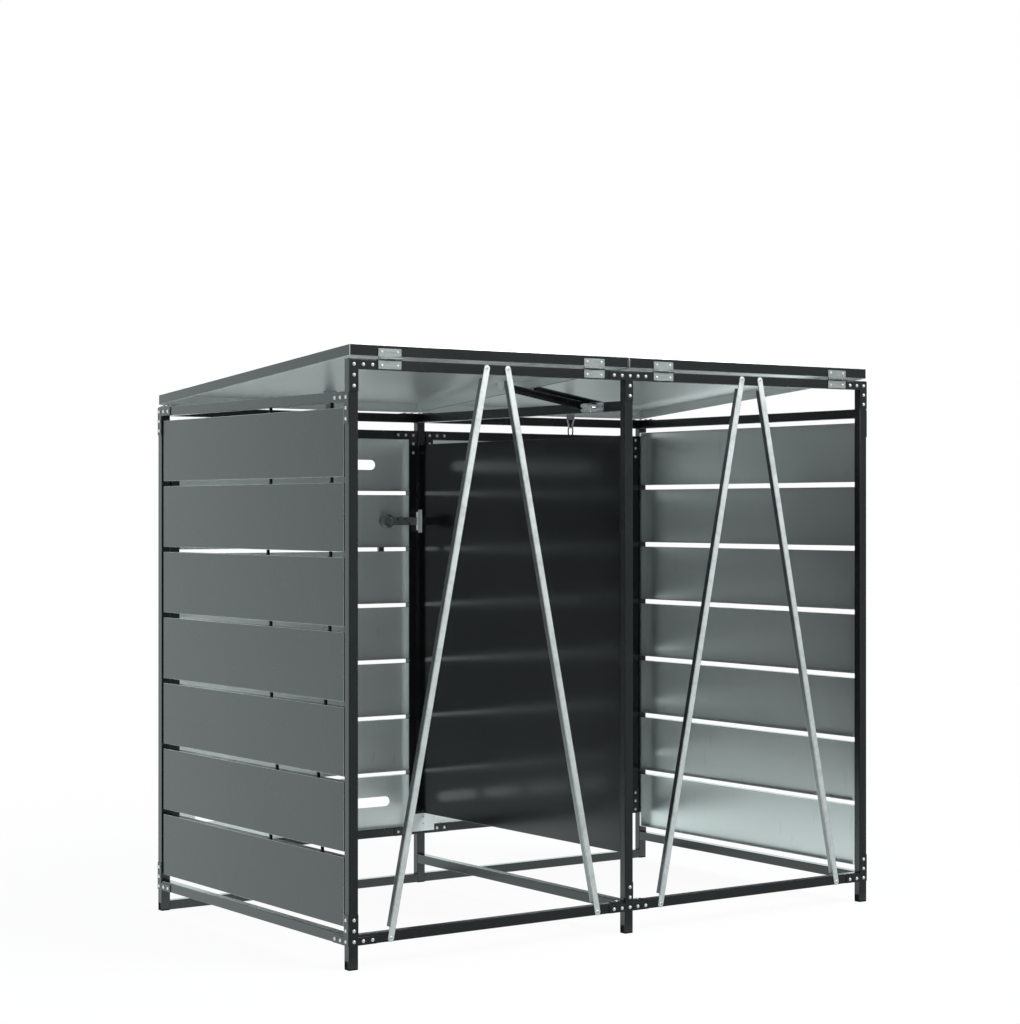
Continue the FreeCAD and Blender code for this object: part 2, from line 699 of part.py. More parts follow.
def door_frame():
    """The right door's four tubes."""
    y1 = FRONT_Y + DOOR_DEPTH
    tubes = []
    for x0 in (DOOR_INNER, DOOR_OUTER - STILE_W):
        x1 = x0 + STILE_W
        hollow = box(x0 + TUBE_WALL, x1 - TUBE_WALL, FRONT_Y + TUBE_WALL, y1 - TUBE_WALL, DOOR_LOW, DOOR_HIGH)
        tubes.append(box(x0, x1, FRONT_Y, y1, DOOR_LOW, DOOR_HIGH).cut(hollow))
    for z0 in (DOOR_LOW, DOOR_OPEN_HIGH):
        tubes.append(tube(DOOR_INNER + STILE_W, DOOR_OUTER - STILE_W, FRONT_Y, y1, z0, z0 + RAIL_H, "X"))
    return tubes


def door_plates():
    """The L plates at the four corners of the right door's back."""
    y = FRONT_Y + DOOR_DEPTH
    sides = ((DOOR_INNER + STILE_W / 2, X_DIR), (DOOR_OUTER - STILE_W / 2, -X_DIR))
    ends = ((DOOR_LOW + RAIL_H / 2, Z_DIR), (DOOR_HIGH - RAIL_H / 2, -Z_DIR))
    arms = (RAIL_H / 2, STILE_W / 2)
    return [plate("L", V(x, y, z), along, up, Y_DIR, *arms) for x, along in sides for z, up in ends]


def slot(x_mid, z_mid, length):
    """A round-ended slot through the door's face."""
    depth = DOOR_SLAT_INSET + 2 * SHEET_T
    return long_round(V(x_mid, FRONT_Y, z_mid), SLOT_H / 2, length - SLOT_H, X_DIR, Z_DIR, Y_DIR * depth)


def door_slats():
    """The right door's folded trays: slots in the top and bottom ones, and the lock's hole."""
    x0 = DOOR_INNER + STILE_W
    x1 = DOOR_OUTER - STILE_W
    x_mid = (x0 + x1) / 2
    y0 = FRONT_Y + DOOR_SLAT_INSET
    y1 = y0 + DOOR_SLAT_DEPTH
    bands = door_slat_bands()
    slats = []
    for z0, z1 in bands:
        hollow = box(x0 + SHEET_T, x1 - SHEET_T, y0 + SHEET_T, y1, z0 + SHEET_T, z1 - SHEET_T)
        slats.append(box(x0, x1, y0, y1, z0, z1).cut(hollow))
    slats[-1] = slats[-1].cut(slot(x_mid, sum(bands[-1]) / 2, LONG_SLOT_L))
    first = x_mid - (SHORT_SLOT_COUNT - 1) / 2 * SHORT_SLOT_PITCH
    places = [first + i * SHORT_SLOT_PITCH for i in range(SHORT_SLOT_COUNT)]
    slats[0] = slats[0].cut([slot(x, sum(bands[0]) / 2, SHORT_SLOT_L) for x in places])
    lock_hole = flat_bar(lock_axis(0), lock_axis(DOOR_DEPTH), CASE_R + CASE_SLACK, LARGE_SIDES)
    slats[-2] = slats[-2].cut(lock_hole)
    return slats


# Locks


def lock_axis(offset):
    """A point on the right lock's axis, at an offset back from the front plane."""
    return V(LOCK_X, FRONT_Y + offset, lock_height())


def lock_case():
    """The lock's fixed body: a rose outside the slat, and a case through it that carries the spindle."""
    front = DOOR_SLAT_INSET - ROSE_T
    rose = flat_bar(lock_axis(front), lock_axis(DOOR_SLAT_INSET), ROSE_R, LARGE_SIDES)
    case = flat_bar(lock_axis(front), lock_axis(CASE_REACH), CASE_R, LARGE_SIDES)
    return joined(rose, case).cut(bar(lock_axis(front), lock_axis(CASE_REACH), SPINDLE_R + PIN_SLACK))


def lock_handle():
    """The outside lever, which hangs down at rest, with its hub and spindle."""
    half = LEVER_W / 2
    z = lock_height()
    lever_y = (FRONT_Y + LEVER_FRONT, FRONT_Y + HUB_FRONT)
    drop = Z_DIR * (LEVER_L - HUB_R - half)
    hub = flat_bar(lock_axis(LEVER_FRONT), lock_axis(HUB_START), HUB_R, LARGE_SIDES)
    spindle = bar(lock_axis(HUB_START), lock_axis(CASE_REACH + CAM_ROOT_GAP + CAM_T), SPINDLE_R)
    blade = box(LOCK_X - half, LOCK_X + half, *lever_y, z - drop.z, z)
    tip = flat_bar(lock_axis(LEVER_FRONT) - drop, lock_axis(HUB_FRONT) - drop, half, LARGE_SIDES)
    return joined(hub, spindle, blade, tip)


def lock_cam():
    """The cranked tongue on the spindle, and the knob that covers the spindle's end."""
    start = CASE_REACH + CAM_ROOT_GAP
    root = FRONT_Y + start
    tongue = FRONT_Y + POST_D + WING_CLEAR + KEEPER_T + WING_CLEAR
    tip_x = POST_W / 2 + KEEPER_T + WING_W + CAM_TIP_GAP
    crank_x = LOCK_X - CAM_CRANK_AT
    outline = [
        (LOCK_X, root),
        (crank_x, root),
        (crank_x - CAM_CRANK_RUN, tongue),
        (tip_x, tongue),
        (tip_x, tongue + CAM_T),
        (crank_x - CAM_CRANK_RUN + 1, tongue + CAM_T),
        (crank_x + 1, root + CAM_T),
        (LOCK_X, root + CAM_T),
    ]
    low = lock_height() - CAM_H / 2
    blade = prism([V(x, y, low) for x, y in outline], Z_DIR * CAM_H)
    heel = flat_bar(lock_axis(start), lock_axis(start + CAM_T), CAM_H / 2, LARGE_SIDES)
    hole = bar(lock_axis(start), lock_axis(start + CAM_T), SPINDLE_R)
    knob = flat_bar(lock_axis(start + CAM_T), lock_axis(start + CAM_T + KNOB_T), KNOB_R, 2 * LARGE_SIDES)
    return [joined(blade, heel).cut(hole), knob]


def build_frame():
    rear_y = REAR_Y - POST_D
    posts = {"left": -POST_X, "centre": 0, "right": POST_X}
    for name, x in posts.items():
        save("post_rear_" + name, [post(x, rear_y, REAR_POST_TOP)])
        save("post_front_" + name, [post(x, FRONT_Y, FRONT_POST_TOP)])
    save("foot_glides", [foot_glide(x, y) for x in posts.values() for y in (rear_y, FRONT_Y)])
    for word, outward in (("outer", 1), ("inner", -1)):
        save("brace_right_" + word, [brace(1, outward)])
        save("brace_left_" + word, [brace(-1, outward)])
    save("rails_rear_top", both_sides(cross_rail(rear_y, REAR_RAIL_Z)))
    save("rails_rear_bottom", both_sides(cross_rail(rear_y, BOTTOM_RAIL_Z)))
    save("rails_front_top", both_sides(cross_rail(FRONT_Y, TOP_RAIL_Z)))
    save("sills_front", both_sides(cross_rail(FRONT_Y, SILL_LIFT)))
    save("rails_side_top", both_sides(deep_rail(POST_X, TOP_RAIL_Z)))
    save("rails_side_bottom", both_sides(deep_rail(POST_X, BOTTOM_RAIL_Z)))
    save("rail_centre_top", [deep_rail(0, TOP_RAIL_Z)])
    save("rail_centre_bottom", [deep_rail(0, BOTTOM_RAIL_Z)])
    save("joining_plates", frame_plates())
    save_pair("side_slats", side_slats())
    save("divider_panel", [divider()])
    save("lock_keepers", both_sides(keeper()))
    save("door_stop", door_stop())
    save("strut_brackets", both_sides(strut_bracket()))
    save("lid_hinge_bases", [piece for leaf in lid_hinges(False) for piece in both_sides(leaf)])
    save("door_hinge_bases", [piece for leaf in door_hinges(False) for piece in both_sides(leaf)])


def build_lids():
    save_pair("lid_panel", [lid_panel()])
    save_pair("lid_hinge_leaves", lid_hinges(True))
    save_pair("lid_brackets", [lid_strut_bracket(), catch_bracket()])
    save_pair("strut_cylinder", [strut_cylinder()])
    save_pair("strut_rod", [strut_rod()])
    save_pair("catch_link", [catch_link()])
    save_pair("catch_ring", [catch_ring()])


def build_doors():
    save_pair("door_frame", door_frame())
    save_pair("door_plates", door_plates())
    save_pair("door_slats", door_slats())
    save_pair("door_fittings", door_hinges(True) + [lock_case()])
    save_pair("lock_handle", [lock_handle()])
    save_pair("lock_cam", lock_cam())


os.makedirs("parts", exist_ok=True)
build_frame()
build_lids()
build_doors()
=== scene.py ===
import bmesh
import bpy
import json
import math
from mathutils import Matrix, Vector


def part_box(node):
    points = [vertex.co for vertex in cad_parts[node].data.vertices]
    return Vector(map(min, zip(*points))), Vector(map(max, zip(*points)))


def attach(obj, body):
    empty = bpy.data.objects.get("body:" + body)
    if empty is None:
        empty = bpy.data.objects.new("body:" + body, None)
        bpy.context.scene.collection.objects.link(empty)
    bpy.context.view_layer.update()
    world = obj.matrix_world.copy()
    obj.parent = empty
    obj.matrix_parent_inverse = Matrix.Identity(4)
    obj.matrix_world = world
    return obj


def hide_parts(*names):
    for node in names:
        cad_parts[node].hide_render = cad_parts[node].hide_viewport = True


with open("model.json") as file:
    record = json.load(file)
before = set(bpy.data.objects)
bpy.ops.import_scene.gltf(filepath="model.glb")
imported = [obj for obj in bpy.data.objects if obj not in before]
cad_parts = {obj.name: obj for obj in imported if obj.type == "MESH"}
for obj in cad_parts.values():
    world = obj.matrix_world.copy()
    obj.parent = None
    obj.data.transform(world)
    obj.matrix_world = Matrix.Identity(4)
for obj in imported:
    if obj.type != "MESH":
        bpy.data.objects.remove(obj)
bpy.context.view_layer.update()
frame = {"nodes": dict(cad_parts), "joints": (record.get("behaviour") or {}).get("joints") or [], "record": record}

# Metres, in the row frame: +X to the right of someone who faces the doors, +Y back, +Z up
MM = 0.001
X_DIR = Vector((1, 0, 0))
Y_DIR = Vector((0, 1, 0))
Z_DIR = Vector((0, 0, 1))

# Camera, at the photograph's own place and angle
CAMERA_AT = (2.8602, 4.0643, 0.8616)
CAMERA_LOOK = (-0.57379, -0.81900, 0)
CAMERA_LENS = 79.85
CAMERA_SHIFT_Y = -0.0005
CAMERA_FAR = 60

# Frame, joining plates and braces, in the part's own sizes
POST_W = 20 * MM
POST_D = 17 * MM
RAIL_H = 20 * MM
TUBE_WALL = 1.5 * MM
PLATE_T = 1.5 * MM
PLATE_END = 10 * MM
PLATE_DROP_LOW = 2.2 * MM
PLATE_DROP_HIGH = 1.0 * MM
TOP_PLATE_HALF = 6.5 * MM
BOLT_PITCH = 20.4 * MM
ANGLE_L = 30 * MM
ANGLE_RISE = 7 * MM
ANGLE_W = 13 * MM
BRACE_W = 14 * MM
BRACE_LEG = 12 * MM
BRACE_T = 2 * MM
BRACE_TAB = 20.5 * MM
BRACE_LOW_SPREAD = 246 * MM
BRACE_TOP_SPREAD = 25 * MM
BRACE_TOP_RISE = 1.5 * MM
BRACE_LOW_DROP = 3.4 * MM

# Folded sheet
SHEET_T = 1 * MM
SLAT_COUNT = 7
SLAT_GAP = 11 * MM
SLAT_GROOVE = 5.5 * MM

# Hinges
HINGE_L = 52 * MM
HINGE_LEAF = 19.6 * MM
HINGE_T = 1.5 * MM
HINGE_CORNER_R = 1.6 * MM
KNUCKLE_R = 2.7 * MM
KNUCKLE_END = 13 * MM
KNUCKLE_GAP = 0.4 * MM
KNUCKLE_EDGE = 0.3 * MM
PIN_R = 1.5 * MM
PIN_HOLE_R = PIN_R * 1.07
LID_HINGE_INSET = 88 * MM
DOOR_HINGE_INSET = 130 * MM

# Gas struts
STRUT_LENGTH = 315.96 * MM
STRUT_TUBE_START = 36 * MM
STRUT_ROD_SHOWN = 22 * MM
STRUT_ROD_START = STRUT_TUBE_START + 14 * MM
STRUT_ROD_STOP = 4 * MM
STRUT_ROD_R = 4 * MM
STRUT_ROD_EDGE = 0.4 * MM
STRUT_EYE_R = 7.5 * MM
STRUT_EYE_T = 12 * MM
STRUT_PLATE_T = 2.5 * MM
EYE_EDGE = 0.9 * MM
STUD_R = 3 * MM
STUD_SLACK = 0.1 * MM

# Lid catches
CATCH_W = 22 * MM
CATCH_T = 1.5 * MM
CATCH_STRAP_TOP = 2.2 * MM
CATCH_STRAP_L = 41 * MM
CATCH_V_L = 17.5 * MM
CATCH_LEG = 3 * MM
CATCH_BEND_R = 3.6 * MM
CATCH_EYE_R = 3 * MM
CATCH_EYE_BORE = 1.6 * MM
RING_HALF_W = 10.3 * MM
RING_STRAIGHT = 5.8 * MM
RING_T = 3 * MM
RING_SIDES = 14

# Locks
SPINDLE_R = 5 * MM
SPINDLE_START = -3.9 * MM
SPINDLE_EDGE = 0.2 * MM
HUB_R = 8.5 * MM
LEVER_W = 15 * MM
LEVER_T = 8 * MM
LEVER_L = 95 * MM
LEVER_INSET = 0.2 * MM
CAM_START = 13.5 * MM
CAM_T = 3 * MM
CAM_H = 18 * MM
CAM_EDGE = 0.4 * MM
CRANK_AT = 27 * MM
CRANK_RUN = 3 * MM
CRANK_SHIFT = 1 * MM
TONGUE_PAST_POST = 3.5 * MM
TONGUE_TIP = 6 * MM

# Turned profiles in mm, from the place that each call gives: along the axis, then the radius
STRUT_TUBE_FOOT = ((0, 0), (0, 5.5), (1.5, 7.3), (3, 8.5))
STRUT_TUBE_MOUTH = ((-9, 8.5), (-8.2, 8), (-7, 8), (-6.2, 8.5), (-2, 8.5), (-0.6, 7.7), (0, 6.1), (0, 4.1))
STRUT_TUBE_BORE = ((10, 4.1), (10, 0))
STRUT_NECK = ((0, 0), (0, 4.6), (9, 4.6), (9.6, 5.5), (28, 5.5), (28.6, 4.6), (36, 4.6), (36, 0))
STRUT_NUT = ((-16.5, 0), (-16.5, 6), (-12, 6), (-11.4, 4.8), (-3, 4.8), (-3, 0))
STUD_CAP = ((0, 0), (0, 5.2), (0.9, 5.2), (1.4, 4.2), (1.4, 0))
LOCK_CASE = ((-2.5, 5.1), (-2.5, 15.8), (-1.3, 17), (1, 17), (1, 13), (11.8, 13), (13, 11.8), (13, 5.1))
LOCK_HUB_FRONT = ((0, 0), (0, 7.3), (1.2, 8.5))
LOCK_HUB_BACK = ((-3.3, 8.5), (-2.9, 8.1), (-2.9, 0))
LOCK_KNOB = ((0, 0), (0, 14.5), (1.2, 16), (5.8, 16), (7.5, 14.6), (8, 12.8), (8, 10), (6.8, 9), (6.8, 0))

# Small things that only the scene has
BOLT_R = 3.6 * MM
BOLT_H = 2.4 * MM
CENTRE_BOLT_SHIFT = -1.5 * MM
ANGLE_BOLT = 17 * MM
STRUT_BOLT_R = 5.5 * MM
STRUT_BOLT_H = 3 * MM
STRUT_BOLT_BACKS = (22 * MM, 50 * MM)
SCREW_R = 2.6 * MM
SCREW_H = 0.9 * MM
HINGE_SCREW_IN = 8.5 * MM
HINGE_SCREW_SHARE = 0.66
RIVET_R = 2.0 * MM
RIVET_H = 0.7 * MM
RIVET_IN = 3 * MM
RIVET_END = 16 * MM
SPACER_L = 7 * MM
SPACER_D = 5.5 * MM
SPACER_LIP = 2.5 * MM
# The spacers' two rows, and how far each spacer stands off its row in mm, gap by gap from the bottom
SPACER_YS = (0.0905, 0.328)
SPACER_SLIPS = ((0, -35), (26, -50), (3, -23), (0, -7), (-11, -4), (0, 0), (0, 0))
# Low round heads: radius, height and radius of the recess
STOP_SCREW = (3 * MM, 1.4 * MM, 1.3 * MM)
STOP_SCREW_DROPS = (9 * MM, 24.5 * MM)
BRACE_BOLT = (3.6 * MM, 1.2 * MM, 1.7 * MM)

# Shares of a fastener's height and radius, and of the dome's quarter turn
DOME_RIM = 0.22
DOME_CROWN = 0.96
DOME_TURN = 84
DOME_STEPS = 5
HEAD_SIDE = 0.6
HEAD_TOP = 0.8
RECESS_MOUTH = 1.15
RECESS_FLOOR = 0.35

# Where a piece changes from one finish to another
DIVIDER_MATT = 11 * MM
STOP_ZINC = 2.1 * MM
CATCH_LILAC_END = 1 * MM

# Mesh cleaning and easing
WELD = 0.001 * MM
FLAT_ANGLE = math.radians(0.5)
CORNER_ANGLE = math.radians(32)
EASE_SHARE = 0.3

# Finishes: what part of the noise turns to clouds or marks, and how much they change
CLOUD_RANGE = (0.3, 0.75)
MARK_RANGE = (0.66, 0.74)
MARK_SHARE = 0.5
SPANGLE_SHARE = 0.35
SMOOTHER = 0.04
ROUGHER = 0.05
EDGE_ROUGHER = 0.03
BUMP_STRENGTH = 0.5

# Studio: a ramp has the two places between which a level changes, then its two values
WHITE = (1.0, 1.0, 1.0)
MIRRORED_TINT = (0.88, 1.0, 0.985)
SOFT_LEVEL = 0.6
FRONT_SLANT = 0.6
FRONT_RAMP = (-0.80, -0.40, 2.0, 0.95)
BACK_RAMP = (-0.2, 0.6, 1.0, 0.37)
FLOOR_HALF = 12.0
FLOOR_COLOUR = (0.92, 0.93, 0.93)
FLOOR_BACK_RAMP = (0.25, 0.5, 1.55, 0.32)
FLOOR_GLOW_RAMP = (1.2, 3.0, 0.94, 1.0)

SIDES = {"right": 1, "left": -1}
SLOT_OF = {part["node"]: part["material_slot"] for part in frame["record"]["subparts"]}
JOINTS = {joint["name"]: joint for joint in frame["joints"]}


# Camera


def placed(name, data):
    """An object of the data, in the scene."""
    made = bpy.data.objects.new(name, data)
    bpy.context.scene.collection.objects.link(made)
    return made


def set_camera():
    data = bpy.data.cameras.new("camera")
    data.lens = CAMERA_LENS
    data.shift_y = CAMERA_SHIFT_Y
    data.clip_end = CAMERA_FAR
    camera = placed("camera", data)
    camera.location = CAMERA_AT
    camera.rotation_euler = Vector(CAMERA_LOOK).to_track_quat("-Z", "Y").to_euler()
    bpy.context.scene.camera = camera


set_camera()


# Materials


def feed(tree, socket, value):
    """Gives a socket a number, a colour or another node's output."""
    if isinstance(value, tuple):
        socket.default_value = (*value, 1)
    elif isinstance(value, (int, float)):
        socket.default_value = value
    else:
        tree.links.new(value, socket)


def ramp(tree, value, low_end, high_end, to_low, to_high):
    """Maps a value's range to another one, held at both ends."""
    node = tree.nodes.new("ShaderNodeMapRange")
    node.clamp = True
    names = ("Value", "From Min", "From Max", "To Min", "To Max")
    for name, setting in zip(names, (value, low_end, high_end, to_low, to_high)):
        feed(tree, node.inputs[name], setting)
    return node.outputs["Result"]


def calculated(tree, operation, *values):
    """A calculation with numbers and other nodes' outputs."""
    node = tree.nodes.new("ShaderNodeMath")
    node.operation = operation
    for socket, value in zip(node.inputs, values):
        feed(tree, socket, value)
    return node.outputs["Value"]


def noise(tree, where, scale, detail, stretch):
    """Noise over the piece's own coordinates, in clouds of about 1 / scale metres."""
    mapping = tree.nodes.new("ShaderNodeMapping")
    mapping.inputs["Scale"].default_value = [scale * s for s in stretch]
    feed(tree, mapping.inputs["Vector"], where)
    node = tree.nodes.new("ShaderNodeTexNoise")
    node.inputs["Scale"].default_value = 1
    node.inputs["Detail"].default_value = detail
    feed(tree, node.inputs["Vector"], mapping.outputs["Vector"])
    return node.outputs["Fac"]


def mixed(tree, factor, first, second):
    """A colour between two, each a colour or another node's output."""
    node = tree.nodes.new("ShaderNodeMix")
    node.data_type = "RGBA"
    feed(tree, node.inputs["Factor"], factor)
    feed(tree, node.inputs[6], first)
    feed(tree, node.inputs[7], second)
    return node.outputs[2]


def spangled(tree, where, clouds, scale):
    """Clouds broken up into the crystals of galvanised steel."""
    cells = tree.nodes.new("ShaderNodeTexVoronoi")
    cells.inputs["Scale"].default_value = scale
    feed(tree, cells.inputs["Vector"], where)
    split = tree.nodes.new("ShaderNodeSeparateColor")
    feed(tree, split.inputs["Color"], cells.outputs["Color"])
    return calculated(tree, "MULTIPLY_ADD", split.outputs["Red"], SPANGLE_SHARE, clouds)


def finish_material(name, dark, light, rough, metallic=0.0, specular=0.5, cloud=60.0, grain=900.0,
                    grain_depth=0.02, stretch=(1, 1, 1), marks=None, spangle=0.0):
    """A finish with clouded colour and roughness, fine grain in its surface, and sparse marks of use."""
    made = bpy.data.materials.new(name)
    made.use_nodes = True
    tree = made.node_tree
    shader = tree.nodes["Principled BSDF"]
    where = tree.nodes.new("ShaderNodeTexCoord").outputs["Object"]
    clouds = noise(tree, where, cloud, 4.0, stretch)
    if spangle:
        clouds = spangled(tree, where, clouds, spangle)
    colour = mixed(tree, ramp(tree, clouds, *CLOUD_RANGE, 0, 1), dark, light)
    roughness = ramp(tree, clouds, *CLOUD_RANGE, rough - SMOOTHER, rough + ROUGHER)
    if marks:
        scuffs = noise(tree, where, 60.0, 6.0, (1, 1, 0.25))
        colour = mixed(tree, ramp(tree, scuffs, *MARK_RANGE, 0, MARK_SHARE), colour, marks)
    feed(tree, shader.inputs["Base Color"], colour)
    feed(tree, shader.inputs["Roughness"], roughness)
    shader.inputs["Metallic"].default_value = metallic
    shader.inputs["Specular IOR Level"].default_value = specular
    bump = tree.nodes.new("ShaderNodeBump")
    bump.inputs["Strength"].default_value = BUMP_STRENGTH
    bump.inputs["Distance"].default_value = grain_depth * MM
    feed(tree, bump.inputs["Height"], noise(tree, where, grain, 2.0, stretch))
    feed(tree, shader.inputs["Normal"], bump.outputs["Normal"])
    return made


EDGE_OF = {}


def finish(name, dark, light, rough, edge=0.0, **more):
    """A finish and, where edge is given, the lighter one that its worn corners take."""
    made = finish_material(name, dark, light, rough, **more)
    if edge:
        worn = [tuple(channel * edge for channel in colour) for colour in (dark, light)]
        EDGE_OF[made.name] = finish_material(name + "_edge", *worn, rough + EDGE_ROUGHER, **more)
    return made


COAT = finish("anthracite_coat", (0.0068, 0.0076, 0.0082), (0.0088, 0.0098, 0.0105), 0.26, 1.4,
              cloud=5.0, marks=(0.020, 0.021, 0.022))
BACK_COAT = finish("sheet_back_coat", (0.54, 0.557, 0.554), (0.60, 0.617, 0.614), 0.33, 1.05, metallic=0.85,
                   cloud=3.0, marks=(0.46, 0.475, 0.475))
# The doors' and lids' back coat: the side slats' back coat made lighter and less metallic; the lighter colour is
# painted light on their inner faces.
PANEL_BACK_PAINTED_LIGHT = finish("panel_back_coat", (0.79, 0.818, 0.813), (0.85, 0.878, 0.873), 0.33, 1.03, metallic=0.58,
                    cloud=3.0, marks=(0.62, 0.68, 0.67))
GLOSS = finish("gloss_black", (0.003, 0.0035, 0.004), (0.005, 0.0055, 0.006), 0.16, 1.6, specular=0.42,
               cloud=3.0, grain=300.0, grain_depth=0.006)
ZINC = finish("galvanised", (0.74, 0.76, 0.76), (0.88, 0.90, 0.90), 0.40, 1.05, metallic=0.85, cloud=30.0,
              spangle=140.0, marks=(0.46, 0.48, 0.48))
PALE_ZINC = finish("pale_zinc", (0.74, 0.77, 0.77), (0.82, 0.85, 0.85), 0.38, 1.05, metallic=0.2,
                   marks=(0.60, 0.62, 0.62))
# The braces' legs: the galvanised finish made darker, painted shade where the legs lie in the store's shade.
SHADED_LEG_ZINC = finish("galvanised_leg", (0.17, 0.175, 0.175), (0.24, 0.245, 0.245), 0.42, 2.0, metallic=0.95,
                  cloud=30.0, spangle=140.0, marks=(0.09, 0.095, 0.095))
HINGE_ZINC = finish("zinc_hinge", (0.36, 0.385, 0.38), (0.45, 0.475, 0.475), 0.36, 1.15, metallic=0.8,
                    stretch=(1, 1, 6), marks=(0.25, 0.27, 0.27))
# Hinge knuckles: a much darker copy of the hinge zinc, painted shade along the rolls in place of the light they
# catch.
SHADED_KNUCKLE_ZINC = finish("zinc_knuckle", (0.10, 0.11, 0.11), (0.15, 0.16, 0.16), 0.40, 1.3, metallic=0.8,
                      marks=(0.07, 0.075, 0.075))
BRIGHT = finish("bright_fastener", (0.60, 0.61, 0.61), (0.72, 0.73, 0.73), 0.32, metallic=0.6, cloud=300.0,
                grain=4000.0)
CHROME = finish("polished_rod", (0.70, 0.71, 0.72), (0.80, 0.81, 0.82), 0.10, 1.1, metallic=1.0, cloud=40.0,
                grain=3000.0, grain_depth=0.003)
STRUT_PAINT = finish("strut_paint", (0.002, 0.002, 0.0025), (0.004, 0.004, 0.0045), 0.24, specular=0.03,
                     cloud=40.0)
PLASTIC = finish("black_plastic", (0.003, 0.003, 0.003), (0.005, 0.005, 0.005), 0.55, 1.5, specular=0.15,
                 grain=1600.0, grain_depth=0.04)
LOCK_GREY = finish("lock_metal", (0.18, 0.19, 0.195), (0.23, 0.24, 0.245), 0.28, 2.0, metallic=0.4,
                   marks=(0.28, 0.29, 0.29))
# Near white and matt, brighter than the other zinc: partly the zinc's own pale tone, partly painted light on
# keepers and seats that lie in shade.
KEEPER_ZINC_PAINTED_LIGHT = finish("bright_zinc", (0.90, 0.91, 0.91), (0.95, 0.96, 0.96), 0.34, 1.01,
                     marks=(0.60, 0.61, 0.61))
LILAC_ZINC = finish("passivated_zinc", (0.20, 0.20, 0.26), (0.30, 0.30, 0.37), 0.32, 1.2, metallic=0.5,
                    cloud=120.0)
RING_BLACK = finish("black_ring", (0.002, 0.002, 0.002), (0.004, 0.004, 0.004), 0.35, specular=0.05,
                    cloud=200.0)
# Darker than the screws' zinc: painted shade in the screw recesses.
SOCKET_PAINTED_SHADE = finish("socket_recess", (0.16, 0.17, 0.17), (0.22, 0.23, 0.23), 0.5, metallic=0.3, cloud=300.0)
# Darker than the braces' zinc: painted shade in the bolt recesses.
CUP_PAINTED_SHADE = finish("rivet_recess", (0.42, 0.43, 0.43), (0.52, 0.53, 0.53), 0.45, metallic=0.5, cloud=300.0)


# Mesh building


def arc_points(centre, radius, start, end, first, second, steps):
    """Points along an arc between two angles in degrees, from first towards second."""
    angles = [math.radians(start + (end - start) * i / steps) for i in range(steps + 1)]
    return [centre + first * (radius * math.cos(a)) + second * (radius * math.sin(a)) for a in angles]


def profile_at(start, points):
    """A turned profile's points in metres, set off from a place on its axis."""
    return [(start + along * MM, radius * MM) for along, radius in points]


def rod_profile(start, end, radius, edge):
    """A solid rod's profile with a bevel at both ends."""
    ends = [(start, 0), (start, radius - edge), (start + edge, radius)]
    return ends + [(end - edge, radius), (end, radius - edge), (end, 0)]


def add_prism(bm, outline, push):
    """Adds an outline pushed straight out."""
    near = [bm.verts.new(p) for p in outline]
    far = [bm.verts.new(p + push) for p in outline]
    count = len(outline)
    made = [bm.faces.new(near), bm.faces.new(far[::-1])]
    for i in range(count):
        j = (i + 1) % count
        made.append(bm.faces.new((near[j], near[i], far[i], far[j])))
    return made


def add_lathe(bm, base, axis, profile, sides, closed=False):
    """Adds a turned shape: its profile is a list of (distance along the axis, radius)."""
    run = Vector(axis).normalized()
    first = run.orthogonal().normalized()
    second = run.cross(first)
    rings = []
    for along, radius in profile:
        centre = Vector(base) + run * along
        if radius:
            points = arc_points(centre, radius, 0, 360, first, second, sides)[:-1]
        else:
            points = [centre]
        rings.append([bm.verts.new(p) for p in points])
    pairs = list(zip(rings, rings[1:]))
    if closed:
        pairs.append((rings[-1], rings[0]))
    made = []
    for a, b in pairs:
        for i in range(sides):
            loop = []
            for vert in (a[i % len(a)], a[(i + 1) % len(a)], b[(i + 1) % len(b)], b[i % len(b)]):
                if vert not in loop:
                    loop.append(vert)
            made.append(bm.faces.new(loop))
    return made


def add_tube(bm, near, far, along):
    """Adds a hollow tube between two corners, open at both ends along axis number along."""
    u, v = [i for i in range(3) if i != along]
    rings = []
    for end in (near[along], far[along]):
        for trim in (0, TUBE_WALL):
            u0, v0 = near[u] + trim, near[v] + trim
            u1, v1 = far[u] - trim, far[v] - trim
            ring = []
            for a, b in ((u0, v0), (u1, v0), (u1, v1), (u0, v1)):
                point = [0, 0, 0]
                point[along], point[u], point[v] = end, a, b
                ring.append(bm.verts.new(point))
            rings.append(ring)
    for i in range(4):
        j = (i + 1) % 4
        for a, b in ((0, 2), (1, 3), (0, 1), (2, 3)):
            bm.faces.new((rings[a][i], rings[a][j], rings[b][j], rings[b][i]))


def copied(node):
    """The CAD node's mesh with its flat faces whole again."""
    mesh = frame["nodes"][node].data.copy()
    directions = mesh.attributes.get("custom_normal")
    if directions:
        mesh.attributes.remove(directions)
    bm = bmesh.new()
    bm.from_mesh(mesh)
    bpy.data.meshes.remove(mesh)
    bmesh.ops.remove_doubles(bm, verts=bm.verts, dist=WELD)
    bmesh.ops.dissolve_limit(bm, angle_limit=FLAT_ANGLE, verts=bm.verts, edges=bm.edges)
    hollow = [face for face in bm.faces if not all(loop.is_convex for loop in face.loops)]
    split = bmesh.ops.triangulate(bm, faces=hollow, quad_method="BEAUTY", ngon_method="BEAUTY")["faces"]
    bmesh.ops.join_triangles(bm, faces=split, angle_face_threshold=FLAT_ANGLE, angle_shape_threshold=math.pi)
    return bm


def is_corner(edge):
    return len(edge.link_faces) == 2 and edge.calc_face_angle() > CORNER_ANGLE


def islands(bm, joins=lambda edge: True):
    """The faces in groups, each held together by the edges that joins picks."""
    groups = []
    seen = set()
    for start in bm.faces:
        if start in seen:
            continue
        seen.add(start)
        group = [start]
        for face in group:
            beside = [other for edge in face.edges if joins(edge) for other in edge.link_faces]
            for other in beside:
                if other not in seen:
                    seen.add(other)
                    group.append(other)
        groups.append(group)
    return groups


